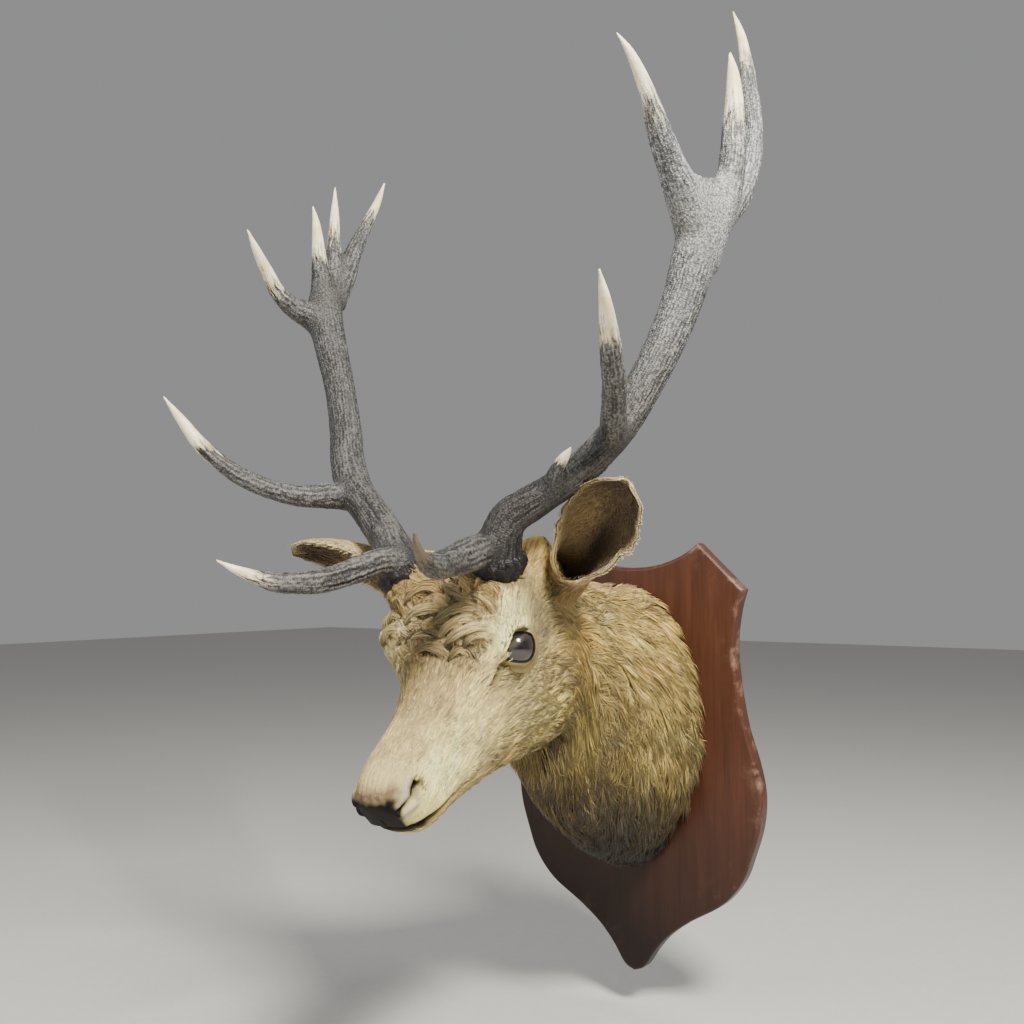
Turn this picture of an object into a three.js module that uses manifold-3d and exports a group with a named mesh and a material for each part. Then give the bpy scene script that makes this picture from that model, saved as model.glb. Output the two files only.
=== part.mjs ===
// Red deer stag head mount: shoulderless neck on a shield-shaped board, ears, glass eyes and two antlers.
// Millimetres, +Z up, the board's back on the plane y = 0, the stag looks along -Y, X is the stag's left.
import * as THREE from "three";
import Module from "manifold-3d";

const wasm = await Module();
wasm.setup();
const { Manifold, Mesh: SolidMesh } = wasm;

const GAP = 0.35; // clearance kept between neighbouring solids
const V = (x, y, z) => new THREE.Vector3(x, y, z);
const clamp = (t, a = 0, b = 1) => Math.min(b, Math.max(a, t));
const smooth = (t) => t * t * (3 - 2 * t);

// ---------------------------------------------------------------- materials
const material = (name, color, roughness, metalness = 0) => {
  const m = new THREE.MeshStandardMaterial({ color, roughness, metalness });
  m.name = name;
  return m;
};
const FINISH = {
  coat: material("coat", 0xa58a5c, 0.95),
  face: material("face", 0xc2ab80, 0.95),
  nose: material("nose", 0x1f1814, 0.6),
  antler: material("antler", 0x8b8074, 0.75),
  ivory: material("ivory", 0xe2d8b8, 0.5),
  eye: material("eye", 0x0d0a08, 0.08),
  board: material("board", 0x4c2416, 0.4),
};

// ---------------------------------------------------------------- head and neck frame
const POSE = {
  pitch: THREE.MathUtils.degToRad(40.6), // facial line below the horizontal
  yaw: THREE.MathUtils.degToRad(2.5), // head turned to the stag's left
  roll: THREE.MathUtils.degToRad(5.25), // head tipped, the stag's right side lower
  nose: V(0, -609, 32.2),
  pivot: V(0, -250, -153),
};
const BACK = V(0, Math.cos(POSE.pitch), Math.sin(POSE.pitch)); // from the nose along the face
const CROWN = V(0, -Math.sin(POSE.pitch), Math.cos(POSE.pitch)); // out of the forehead

/** Head frame (left, back, crown) to the straight body. */
const straight = (l, a, b) =>
  POSE.nose.clone().addScaledVector(BACK, a).addScaledVector(CROWN, b).add(V(l, 0, 0));

/** The straight body's point p turned by the share w of the head's roll and yaw. */
function turned(p, w) {
  const r = p.clone().sub(POSE.pivot);
  r.applyAxisAngle(V(0, 1, 0), -POSE.roll * w);
  r.applyAxisAngle(V(0, 0, 1), POSE.yaw * w);
  return r.add(POSE.pivot);
}
const headPoint = (l, a, b) => turned(straight(l, a, b), 1);

// Stations of the loft. Head rows: dorsal a, b, ventral a, b, half width, height of the widest line,
// superellipse power of the section.
const HEAD_ROWS = [
  [2, -32, 2, -32, 0, 0, 2.2],
  [3, -12, 5, -52, 24, 0, 2.2],
  [10, -2, 11, -69, 33, 0, 2.2],
  [24, 5, 26, -86, 39, 0, 2.2],
  [50, 10, 55, -101, 43, 0.05, 2.2],
  [90, 9, 95, -118, 41, 0.1, 2.2],
  [130, 10, 135, -138, 45, 0.15, 2.2],
  [175, 15, 175, -160, 57, 0.3, 2.2],
  [205, 24, 203, -180, 70, 0.45, 2.2],
  [240, 36, 233, -200, 82, 0.5, 2.2],
  [273, 48, 258, -217, 85, 0.5, 2.2],
  [308, 55, 279, -231, 85, 0.45, 2.2],
  [340, 53, 297, -240, 85, 0.35, 2.2],
  [372, 40, 310, -241, 88, 0.2, 2.1],
];
// Neck rows: dorsal y, z, ventral y, z, half width, height of the widest line, roundness.
const NECK_ROWS = [
  [-285, 300, -205, -52, 96, 0.1, 2.0],
  [-215, 276, -170, -92, 107, 0.05, 1.9],
  [-140, 260, -125, -124, 116, 0, 1.85],
  [-70, 255, -68, -148, 121, 0, 1.85],
  [-22.35, 256, -22.35, -158, 121, 0, 1.85],
];

const stations = [
  ...HEAD_ROWS.map(([da, db, va, vb, w, k, q]) => ({ d: straight(0, da, db), v: straight(0, va, vb), w, k, q })),
  ...NECK_ROWS.map(([dy, dz, vy, vz, w, k, q]) => ({ d: V(0, dy, dz), v: V(0, vy, vz), w, k, q })),
];
stations.forEach((st, i) => {
  const before = stations[i - 1];
  st.t = before ? before.t + (before.d.distanceTo(st.d) + before.v.distanceTo(st.v)) / 2 : 0;
});
const T_END = stations.at(-1).t;
const T_HEAD = stations[HEAD_ROWS.length - 1].t;

/** Monotone cubic through (t, y), after Fritsch and Carlson. */
function monotone(ts, ys) {
  const n = ts.length;
  const h = ts.slice(1).map((t, i) => t - ts[i]);
  const slope = h.map((d, i) => (ys[i + 1] - ys[i]) / d);
  const m = ys.map((_, i) => {
    if (i === 0) return slope[0];
    if (i === n - 1) return slope[n - 2];
    if (slope[i - 1] * slope[i] <= 0) return 0;
    const w1 = 2 * h[i] + h[i - 1];
    const w2 = h[i] + 2 * h[i - 1];
    return (w1 + w2) / (w1 / slope[i - 1] + w2 / slope[i]);
  });
  return (t) => {
    let i = 0;
    while (i < n - 2 && t > ts[i + 1]) i += 1;
    const u = clamp((t - ts[i]) / h[i]);
    const [a, b] = [ys[i], ys[i + 1]];
    return (
      a * (1 + 2 * u) * (1 - u) ** 2 + m[i] * h[i] * u * (1 - u) ** 2 +
      b * u * u * (3 - 2 * u) + m[i + 1] * h[i] * u * u * (u - 1)
    );
  };
}
const T = stations.map((s) => s.t);
const along = (pick) => monotone(T, stations.map(pick));
const RAIL = {
  dy: along((s) => s.d.y), dz: along((s) => s.d.z),
  vy: along((s) => s.v.y), vz: along((s) => s.v.z),
  w: along((s) => s.w), k: along((s) => s.k), q: along((s) => s.q),
};

// Rounded swellings and hollows, mirrored on both sides: centre and spread in the head frame, push in mm.
const SWELLINGS = [
  { at: [84, 238, 8], spread: [42, 34, 32], push: [27, -1, 8] }, // brow over the orbit
  { at: [62, 195, -42], spread: [26, 28, 15], push: [-6, 0, 0] }, // hollow before the eye
  { at: [68, 268, -120], spread: [40, 55, 50], push: [5, 0, 0] }, // cheek
  { at: [34, 26, -26], spread: [16, 16, 14], push: [4, -1, 1] }, // nostril wing
  { at: [76, 300, 30], spread: [36, 32, 40], push: [12, 0, 8] }, // hair round the pedicle
  { at: [82, 358, 20], spread: [36, 34, 44], push: [10, 6, 26] }, // muscle before the ear
  { at: [80, 374, -26], spread: [26, 34, 42], push: [18, 0, 50] }, // root of the ear
];

/** Push a straight-body point by the swellings. */
function swollen(p) {
  const rel = p.clone().sub(POSE.nose);
  const [l, a, b] = [rel.x, rel.dot(BACK), rel.dot(CROWN)];
  const out = p.clone();
  for (const { at, spread, push } of SWELLINGS) {
    const r2 = ((Math.abs(l) - at[0]) / spread[0]) ** 2 + ((a - at[1]) / spread[1]) ** 2 + ((b - at[2]) / spread[2]) ** 2;
    const g = Math.exp(-r2);
    const side = clamp(l / 15, -1, 1); // fades to nothing on the middle plane
    out.x += push[0] * g * side;
    out.addScaledVector(BACK, push[1] * g).addScaledVector(CROWN, push[2] * g);
  }
  return out;
}

/** One section of the body at t with n points, grown by the given amount. */
function section(t, n, grow = 0) {
  const d = V(0, RAIL.dy(t), RAIL.dz(t));
  const v = V(0, RAIL.vy(t), RAIL.vz(t));
  const mid = d.clone().add(v).multiplyScalar(0.5);
  const half = d.clone().sub(v).multiplyScalar(0.5);
  half.setLength(half.length() + grow);
  const w = RAIL.w(t) + grow;
  const k = RAIL.k(t);
  const power = RAIL.q(t);
  const share = smooth(clamp((T_END - t) / (T_END - T_HEAD)));
  return Array.from({ length: n }, (_, i) => {
    const phi = (2 * Math.PI * i) / n;
    const c = Math.cos(phi);
    const skew = (c - k) / (1 - k * c);
    const x = Math.sign(Math.sin(phi)) * w * (1 - Math.abs(skew) ** power) ** (1 / power);
    const p = mid.clone().addScaledVector(half, c).add(V(Math.abs(Math.sin(phi)) < 1e-9 ? 0 : x, 0, 0));
    return turned(swollen(p), share);
  });
}

// ---------------------------------------------------------------- solids
/** A closed solid through rings of equal length, with flat ends. */
function loft(rings) {
  const n = rings[0].length;
  const points = rings.flat();
  const faces = [];
  for (let r = 0; r + 1 < rings.length; r += 1)
    for (let i = 0; i < n; i += 1) {
      const j = (i + 1) % n;
      const [a, b, c, d] = [r * n + i, r * n + j, (r + 1) * n + j, (r + 1) * n + i];
      faces.push([a, b, c], [a, c, d]);
    }
  const cap = (ring, flip) => {
    const centre = ring.reduce((s, p) => s.add(p), V(0, 0, 0)).divideScalar(n);
    const base = rings.indexOf(ring) * n;
    points.push(centre);
    const m = points.length - 1;
    for (let i = 0; i < n; i += 1) {
      const j = (i + 1) % n;
      faces.push(flip ? [m, base + j, base + i] : [m, base + i, base + j]);
    }
  };
  cap(rings[0], true);
  cap(rings.at(-1), false);
  return solid(points, faces);
}

/** A manifold solid from points and faces, turned right side out. */
function solid(points, faces) {
  const make = (list) =>
    new Manifold(new SolidMesh({
      numProp: 3,
      vertProperties: Float32Array.from(points.flatMap((p) => [p.x, p.y, p.z])),
      triVerts: Uint32Array.from(list.flat()),
    }));
  const made = make(faces);
  return made.volume() > 0 ? made : make(faces.map(([a, b, c]) => [a, c, b]));
}

/** The largest single body of a solid, for a cut that leaves crumbs. */
const whole = (s) => s.decompose().sort((a, b) => b.volume() - a.volume())[0];

/** Body solid between t0 and t1, with its end sections moved inwards by the trims. */
function bodySpan(t0, t1, count, n, grow = 0, ease = 1) {
  const rings = Array.from({ length: count + 1 }, (_, i) =>
    section(t0 + (t1 - t0) * (i / count) ** ease, n, grow));
  return loft(rings);
}

/** The ring moved along its own plane's normal, towards +Y. */
function shifted(ring, by) {
  const n = ring.length;
  const normal = ring[Math.floor(n / 4)].clone().sub(ring[0]).cross(ring[Math.floor(n / 2)].clone().sub(ring[0])).normalize();
  if (normal.y < 0) normal.negate();
  return ring.map((p) => p.clone().addScaledVector(normal, by));
}

// ---------------------------------------------------------------- tubes
/** A tube round a Catmull-Rom path of [x, y, z, radius] rows, in centimetres. */
function tube(rows, { sides = 8, steps = 10, grow = 0, from = 0, to = 1 } = {}) {
  const path = new THREE.CatmullRomCurve3(rows.map(([x, y, z]) => V(x, y, z).multiplyScalar(10)), false, "centripetal");
  const radius = monotone(rows.map((_, i) => i / (rows.length - 1)), rows.map((r) => r[3] * 10));
  const us = Array.from({ length: steps + 1 }, (_, i) => from + (to - from) * (i / steps));
  let side = V(1, 0.2, 0);
  const rings = us.map((u, i) => {
    const tangent = path.getTangent(u);
    side = side.clone().addScaledVector(tangent, -side.dot(tangent)).normalize();
    const up = tangent.clone().cross(side);
    const p = path.getPoint(u);
    if (grow && i === 0) p.addScaledVector(tangent, -grow);
    if (grow && i === steps) p.addScaledVector(tangent, grow);
    const r = radius(u) + grow;
    return Array.from({ length: sides }, (_, s) => {
      const q = (2 * Math.PI * s) / sides;
      return p.clone().addScaledVector(side, r * Math.cos(q)).addScaledVector(up, r * Math.sin(q));
    });
  });
  return loft(rings);
}

// Antler paths in centimetres: x, y, z and radius.
const ANTLERS = {
  left: {
    beam: [[3.2, -41.0, 25.6, 2.4], [3.4, -41.6, 27.6, 2.95], [3.8, -42.2, 29.4, 2.75], [5.2, -42.1, 32.9, 2.2], [7.7, -40.7, 34.9, 2.05], [10.2, -38.7, 37, 1.95], [12.8, -36.7, 39.6, 1.95], [15.2, -34.6, 43, 2.05], [16.9, -32, 47.6, 2.15], [18.5, -29.3, 52.9, 2.3], [20.4, -26.8, 59.9, 2.5], [21.4, -25.7, 65.1, 2.8], [22.1, -24.6, 69.4, 3.0]],
    fork: 0.575,
    tines: {
      brow_tine: [[3.1, -43.3, 29.6, 2.0], [3.7, -47.7, 28.8, 1.9], [5, -53.4, 27.8, 1.6], [7.6, -59.5, 27.5, 1.28], [9.5, -63.7, 28.3, 0.68], [10.4, -65.6, 29.5, 0.42], [10.9, -66.6, 30.7, 0.14]],
      bez_tine: [[9.8, -39.9, 36.2, 1.7], [11.0, -40.8, 38.2, 1.3], [12.3, -41.2, 39.7, 0.75], [13.2, -41.3, 40.9, 0.12]],
      tray_tine: [[15.5, -35.1, 42.3, 1.75], [17.5, -39, 44.3, 1.52], [20, -43.3, 46.9, 1.35], [22.2, -47.9, 49.5, 1.2], [23.9, -51.6, 51.8, 0.95], [25, -54.3, 53.9, 0.64], [25.6, -56.4, 56.3, 0.14]],
      crown_middle: [[22.3, -24, 68.2, 2.6], [24.1, -22.3, 73.4, 2.06], [24.8, -21.6, 77.2, 1.7], [24.9, -21.3, 81.7, 1.46], [24.9, -21, 85.6, 1.16], [24.7, -20.8, 89, 0.79], [24.3, -20.8, 92, 0.18]],
      crown_front: [[21.7, -25.3, 67.4, 2.7], [21.6, -29, 71.9, 2.24], [21.8, -33.1, 75, 1.72], [22.1, -36.5, 77.6, 1.35], [22.3, -38.8, 80, 0.99], [22.1, -40.9, 82.4, 0.76], [21.6, -42.5, 84.5, 0.49], [20.7, -43.7, 86.3, 0.12]],
      crown_back: [[22.8, -22.6, 69, 2.3], [24.1, -18.2, 74.5, 1.74], [24.4, -15, 79.7, 1.39], [23.9, -12.4, 85.5, 1.22], [22.8, -10.7, 90.8, 1.11], [21.6, -9.1, 96.1, 0.86], [20.7, -8.5, 100.1, 0.6], [19.5, -8.3, 103.8, 0.13]],
    },
  },
  right: {
    beam: [[-9.7, -41.2, 24.1, 2.4], [-10.1, -41.9, 26.1, 2.95], [-11.2, -42.3, 28.3, 2.7], [-14, -41.5, 31.6, 2.27], [-18.3, -39.6, 34.9, 2.2], [-23, -37.3, 38.1, 2.4], [-26.1, -35.2, 42, 2.3], [-28.4, -33.1, 46.5, 2.2], [-31.1, -31.4, 52.9, 2.15], [-34.3, -29.9, 59.6, 2.35], [-36.6, -28.8, 64.6, 2.6], [-37.4, -27.9, 67.8, 2.5]],
    fork: 0.485,
    tines: {
      brow_tine: [[-10.6, -43.4, 28.1, 1.97], [-10.8, -46.6, 28, 1.63], [-10.8, -50.7, 27, 1.47], [-11.1, -54.6, 26, 1.38], [-11.8, -58.7, 25.6, 1.24], [-12.7, -61.7, 25.7, 1.05], [-13.4, -64, 26.3, 0.77], [-14.3, -66.1, 27.1, 0.49], [-15.6, -67.7, 28.1, 0.12]],
      bez_tine: [[-13.7, -42.2, 30.6, 0.95], [-13.5, -43.8, 31.8, 0.75], [-13.4, -44.7, 32.8, 0.43], [-13.2, -45, 33.8, 0.12]],
      tray_tine: [[-22.9, -37.9, 37, 2.0], [-24, -41.3, 36.9, 1.7], [-25.5, -44.9, 36.7, 1.42], [-27.2, -48.3, 37.4, 1.28], [-28.6, -50.7, 38.4, 1.2], [-30.4, -53.3, 40.2, 1.07], [-32.2, -55.8, 42.9, 0.94], [-33.9, -57.5, 46, 0.62], [-35.5, -58.9, 48.8, 0.12]],
      crown_middle: [[-37.3, -27.6, 66.8, 2.2], [-37.9, -26, 71, 1.6], [-38.5, -24.9, 74.1, 1.35], [-39.8, -23.6, 78, 0.99], [-40.9, -22.3, 82.5, 0.69], [-42, -21.1, 87.4, 0.15]],
      crown_front: [[-36.6, -28.8, 63.4, 2.2], [-37.3, -32.1, 64.6, 1.88], [-37.4, -35, 65.2, 1.42], [-37.2, -37.9, 66.6, 1.12], [-36.7, -40.4, 68.8, 0.9], [-36.3, -42.8, 71.2, 0.61], [-36.1, -44.8, 73.7, 0.13]],
      crown_outer: [[-37.2, -28.4, 66.6, 2.1], [-37.2, -28.9, 70.3, 1.61], [-37.1, -29.6, 73.4, 1.09], [-36.9, -30.2, 75.9, 0.87], [-36.7, -30.8, 78.3, 0.58], [-36.7, -31.5, 80.6, 0.14]],
      crown_back: [[-37.4, -26.6, 67, 2.2], [-37.8, -23.2, 72.3, 1.66], [-38.6, -20.8, 76, 1.38], [-39.5, -18, 79.5, 1.09], [-40.3, -15.2, 83.1, 0.87], [-41, -12.2, 87.1, 0.64], [-41.5, -9.7, 91.3, 0.16]],
    },
  },
};

/** All solids of one antler, each clear of the ones before it. */
function antler(side, { beam, fork, tines }, skull) {
  const parts = {};
  const gapShare = 0.0012;
  const lower = { sides: 10, steps: 12, to: fork - gapShare };
  const upper = { sides: 10, steps: 10, from: fork + gapShare };
  parts[`antler_${side}_beam_lower`] = whole(tube(beam, lower).subtract(skull));
  parts[`antler_${side}_beam_upper`] = tube(beam, upper);
  const grow = 1.5 * GAP;
  let taken = tube(beam, { ...lower, grow }).add(tube(beam, { ...upper, grow })).add(skull);
  for (const [name, rows] of Object.entries(tines)) {
    const steps = Math.min(8, 2 * rows.length - 2);
    parts[`antler_${side}_${name}`] = whole(tube(rows, { steps }).subtract(taken));
    taken = taken.add(tube(rows, { steps, grow }));
  }
  return parts;
}

// ---------------------------------------------------------------- ears
const EARS = {
  left: { base: [98, 372, -58], bend: [147, 385, 18], tip: [228, 370, 101], face: V(0.5, -0.85, 0) },
  right: { base: [-98, 372, -58], bend: [-122, 359, 55], tip: [-247, 326, 98], face: V(-0.1, -0.35, -0.93) },
};
const EAR_WIDTH = monotone([0, 0.15, 0.35, 0.55, 0.75, 0.9, 1], [48, 48, 51, 53, 48, 33, 8]); // half the flattened width
const EAR_WRAP = monotone([0, 0.2, 0.34, 0.5, 0.75, 1], [2.6, 2.5, 1.85, 1.25, 0.95, 0.7]); // half angle of the curl, radians

/** A cupped ear of fur thickness: loops of front and back points from base to tip. */
function ear({ base, bend, tip, face }, rows = 11, cols = 8) {
  const spine = new THREE.QuadraticBezierCurve3(headPoint(...base), headPoint(...bend), headPoint(...tip));
  const point = (u, v, out) => {
    const axis = spine.getTangent(u);
    const open = face.clone().addScaledVector(axis, -face.dot(axis)).normalize();
    const across = open.clone().cross(axis);
    const wrap = EAR_WRAP(u);
    const r = EAR_WIDTH(u) / wrap;
    const q = v * wrap;
    return spine.getPoint(u)
      .addScaledVector(across, (r + out) * Math.sin(q))
      .addScaledVector(open, r * 0.7 - (r + out) * Math.cos(q));
  };
  const points = [];
  const loopSize = 2 * (cols + 1);
  for (let i = 0; i <= rows; i += 1) {
    const u = i / rows;
    for (let j = 0; j <= cols; j += 1) points.push(point(u, (2 * j) / cols - 1, 0));
    for (let j = cols; j >= 0; j -= 1) points.push(point(u, (2 * j) / cols - 1, 3 + 4 * (1 - u)));
  }
  const faces = [];
  for (let i = 0; i < rows; i += 1)
    for (let j = 0; j < loopSize; j += 1) {
      const k = (j + 1) % loopSize;
      const [a, b, c, d] = [i * loopSize + j, i * loopSize + k, (i + 1) * loopSize + k, (i + 1) * loopSize + j];
      faces.push([a, b, c], [a, c, d]);
    }
  const cap = (i, flip) => {
    for (let j = 0; j < cols; j += 1) {
      const o = i * loopSize;
      const [a, b, c, d] = [o + j, o + j + 1, o + loopSize - 2 - j, o + loopSize - 1 - j];
      const quad = flip ? [[a, c, b], [a, d, c]] : [[a, b, c], [a, c, d]];
      faces.push(...quad);
    }
  };
  cap(0, true);
  cap(rows, false);
  return solid(points, faces);
}

// ---------------------------------------------------------------- board
const BOARD = { thick: 22, bevel: 5 };
// Half outline, x and z from the top notch to the foot.
const SHIELD = [
  [0, 276], [30, 278], [62, 286], [86, 297], [106, 311], [174, 245], [166, 218], [160, 172], [164, 113], [175, 53],
  [190, 5], [198, -36], [195, -79], [182, -122], [168, -157], [140, -191], [88, -224], [56, -248], [35, -271], [14, -300], [0, -306],
];

/** The shield's outline drawn in by an amount, as a closed loop of x and z. */
function shieldLoop(inset) {
  const half = SHIELD.map(([x, z]) => V(x, 0, z));
  const loop = [...half, ...half.slice(1, -1).reverse().map((p) => V(-p.x, 0, p.z))];
  return loop.map((p, i) => {
    const a = loop[(i + loop.length - 1) % loop.length];
    const b = loop[(i + 1) % loop.length];
    const d = b.clone().sub(a).normalize();
    return p.clone().add(V(-d.z, 0, d.x).multiplyScalar(-inset));
  });
}

function board() {
  const rings = [[0, 0], [-BOARD.thick + BOARD.bevel, 0], [-BOARD.thick, BOARD.bevel]].map(([y, inset]) =>
    shieldLoop(inset).map((p) => V(p.x, y, p.z)));
  return loft(rings);
}

// ---------------------------------------------------------------- assembly
const SPLIT = { muzzle: 0.405 * T_HEAD, neck: T_HEAD + 0.45 * (stations[HEAD_ROWS.length].t - T_HEAD) };
const POINTS = 30;
const share = (a, b, n) => Array.from({ length: n + 1 }, (_, i) => a + (b - a) * (i / n));
const HEAD_T = share(SPLIT.muzzle, SPLIT.neck, 22);
const NECK_T = share(SPLIT.neck, T_END, 12);

const withGap = (ts) => loft(ts.map((t, i) => (i === 0 ? shifted(section(t, POINTS), GAP) : section(t, POINTS))));
const neck = withGap(NECK_T);
let head = withGap(HEAD_T);
// What stands on the head is cut back to this grown copy of its surface.
const skull = loft([...HEAD_T, ...NECK_T.slice(1, 9)].map((t) => section(t, POINTS, 2 * GAP)));

const EYE = { radius: 23, at: [76.5, 243.5, -18.5] };
const eyeAt = (sign) => headPoint(sign * EYE.at[0], EYE.at[1], EYE.at[2]);
const ball = (centre, r, rings = 9, segments = 14) => {
  const g = new THREE.SphereGeometry(r, segments, rings);
  const rows = [];
  for (let i = 1; i < rings; i += 1) {
    const q = (Math.PI * i) / rings;
    rows.push(Array.from({ length: segments }, (_, j) => {
      const s = (2 * Math.PI * j) / segments;
      return centre.clone().add(V(r * Math.sin(q) * Math.cos(s), r * Math.sin(q) * Math.sin(s), r * Math.cos(q)));
    }));
  }
  g.dispose();
  return loft(rows);
};
for (const sign of [1, -1]) head = head.subtract(ball(eyeAt(sign), EYE.radius + GAP));
head = whole(head);

// The muzzle is cut into upper muzzle, nose pad and lower jaw by slabs in the head frame.
const muzzleAll = bodySpan(0.5, SPLIT.muzzle, 14, POINTS, 0, 1.25);
/** A slab from the head-frame corners of its side view, reaching the given half width. */
function slab(corners, half) {
  const ring = (l) => corners.map(([a, b]) => headPoint(l, a, b));
  return loft([ring(-half), ring(half)]);
}
const padSlab = (g) => slab([[-20, 6], [13 + g, 2 + g], [17 + g, -40], [8 + g, -56 - g], [-20, -56 - g]], 29 + g);
const jawSlab = (g) => slab([[-20, -58 + g], [16, -62 + g], [100, -88 + g], [128 + g, -98 + g], [134 + g, -190], [-20, -190]], 90);
const pad = whole(muzzleAll.intersect(padSlab(0)));
const jaw = whole(muzzleAll.intersect(jawSlab(0)).subtract(padSlab(GAP)));
const muzzle = whole(muzzleAll.subtract(padSlab(GAP)).subtract(jawSlab(GAP)));

const solids = { board: board(), neck, head, muzzle, lower_jaw: jaw, nose_pad: pad };
for (const [side, spec] of Object.entries(EARS)) solids[`ear_${side}`] = whole(ear(spec).subtract(skull));
solids.eye_left = ball(eyeAt(1), EYE.radius);
solids.eye_right = ball(eyeAt(-1), EYE.radius);
for (const [side, spec] of Object.entries(ANTLERS)) Object.assign(solids, antler(side, spec, skull));

/** A three.js mesh of a solid. */
function meshOf(name, body, finish) {
  const { numProp, vertProperties, triVerts } = body.getMesh();
  const g = new THREE.BufferGeometry();
  const count = vertProperties.length / numProp;
  const xyz = new Float32Array(count * 3);
  for (let i = 0; i < count; i += 1) for (let c = 0; c < 3; c += 1) xyz[3 * i + c] = vertProperties[i * numProp + c];
  g.setAttribute("position", new THREE.BufferAttribute(xyz, 3));
  g.setIndex(new THREE.BufferAttribute(new Uint32Array(triVerts), 1));
  g.computeVertexNormals();
  const mesh = new THREE.Mesh(g, finish);
  mesh.name = name;
  return mesh;
}
const finishOf = (name) => {
  if (name === "board") return FINISH.board;
  if (name === "nose_pad") return FINISH.nose;
  if (name.startsWith("eye")) return FINISH.eye;
  if (name.startsWith("antler")) return FINISH.antler;
  return name === "neck" ? FINISH.coat : FINISH.face;
};

const root = new THREE.Group();
root.name = "red_deer_stag_head_mount";
const groups = {};
for (const [name, body] of Object.entries(solids)) {
  const key = name.startsWith("antler") ? name.split("_").slice(0, 2).join("_") : name === "board" ? "stand" : "animal";
  groups[key] ??= root.add(Object.assign(new THREE.Group(), { name: `${key}_group` })).children.at(-1);
  groups[key].add(meshOf(name, body, finishOf(name)));
}

export default root;
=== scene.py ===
"""Red deer stag head mount: the skin, coat, eyes, antlers and board over the fixed frame."""
import logging
import math
from dataclasses import dataclass, field
from enum import Enum

import bpy
import numpy as np
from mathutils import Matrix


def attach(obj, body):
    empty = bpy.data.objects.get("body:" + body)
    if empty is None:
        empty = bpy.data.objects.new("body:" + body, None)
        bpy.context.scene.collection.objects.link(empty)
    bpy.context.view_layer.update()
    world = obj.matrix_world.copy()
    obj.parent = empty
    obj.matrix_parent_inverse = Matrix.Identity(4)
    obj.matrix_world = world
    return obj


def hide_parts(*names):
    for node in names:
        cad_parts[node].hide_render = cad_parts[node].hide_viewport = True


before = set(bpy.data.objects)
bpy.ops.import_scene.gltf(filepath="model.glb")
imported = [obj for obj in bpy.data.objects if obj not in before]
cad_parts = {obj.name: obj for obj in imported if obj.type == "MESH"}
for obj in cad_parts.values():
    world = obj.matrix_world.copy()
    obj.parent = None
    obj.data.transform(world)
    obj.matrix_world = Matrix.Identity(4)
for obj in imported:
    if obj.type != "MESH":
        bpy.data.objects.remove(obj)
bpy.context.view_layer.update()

Array = np.ndarray
Point = tuple[float, float, float]
Rgb = tuple[int, int, int]
Path = list[Point]
Socket = bpy.types.NodeSocket
LOG = logging.getLogger("stag")
MM = 0.001
BODY = "root"
UNWRAP = "OFBake"
# Side of one hair's patch on the unwrap.
PATCH_SIDE = 0.003
# Rows worked out at a time where every point is measured against many.
BLOCK = 1500


# ------------------------------------------------------------------ numbers
def unit(v: Array) -> Array:
    """Rows of v at length one."""
    return v / np.maximum(np.linalg.norm(v, axis=-1, keepdims=True), 1e-9)


def dot(a: Array, b: Array) -> Array:
    """Row by row dot product, kept as a column."""
    return np.sum(a * b, axis=-1, keepdims=True)


def size(v: Array) -> Array:
    """Lengths of the rows of v."""
    return np.linalg.norm(v, axis=-1)


def running(steps: Array) -> Array:
    """Running total of the steps, from nothing."""
    return np.concatenate([[0.0], np.cumsum(steps)])


def pairs(a: Array, b: Array) -> tuple[Array, Array]:
    """Every value of a with every value of b, a slowest."""
    return np.repeat(a, len(b)), np.tile(b, len(a))


def circle(count: int) -> Array:
    """Angles of equal steps round a circle."""
    return np.arange(count) * 2 * math.pi / count


def ease(x: Array, lo: float = 0.0, hi: float = 1.0) -> Array:
    """Smoothstep: nothing below lo, one above hi, 3u^2 - 2u^3 between."""
    u = np.clip((np.asarray(x, float) - lo) / (hi - lo), 0.0, 1.0)
    return u * u * (3 - 2 * u)


def mix(a: Array, b: Array, w: Array) -> Array:
    """a where w is nothing, b where w is one."""
    return a + (b - a) * w


def linear(rgb: Point) -> Array:
    """A display colour of 0 to 255 as linear light."""
    c = np.asarray(rgb, float) / 255.0
    return np.where(c <= 0.04045, c / 12.92, ((c + 0.055) / 1.055) ** 2.4)


def paint(tint: Array, rgb: Rgb, share: Array) -> Array:
    """Linear colours painted over with a display colour by a share per row."""
    return mix(tint, linear(rgb), share[:, None])


def noise(p: Array, seed: int = 0, octaves: int = 1) -> Array:
    """Value noise: hashed lattice values joined by smoothsteps, each octave twice as fine and half as strong.

    Args:
        p: points, N by 3, in lattice units.
        seed: picks the lattice values.
        octaves: how many layers are added.

    Returns:
        N values between about -1 and 1.
    """
    total, strength, scale = np.zeros(len(p)), 1.0, 1.0
    for octave in range(octaves):
        q = p * scale + 17.3 * octave
        cell = np.floor(q).astype(np.int64)
        f = q - cell
        f = f * f * (3 - 2 * f)
        for corner in range(8):
            step = np.array([corner & 1, corner >> 1 & 1, corner >> 2 & 1])
            c = cell + step
            h = (c @ np.array([374761393, 668265263, 1274126177]) + (seed + octave) * 362437) & 0x7FFFFFFF
            h = ((h ^ (h >> 13)) * 1103515245) & 0x7FFFFFFF
            h = h ^ (h >> 16)
            value = (h & 0xFFFF) / 32767.5 - 1
            total += strength * value * np.prod(np.where(step, f, 1 - f), axis=1)
        strength *= 0.5
        scale *= 2.0
    return total


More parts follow.
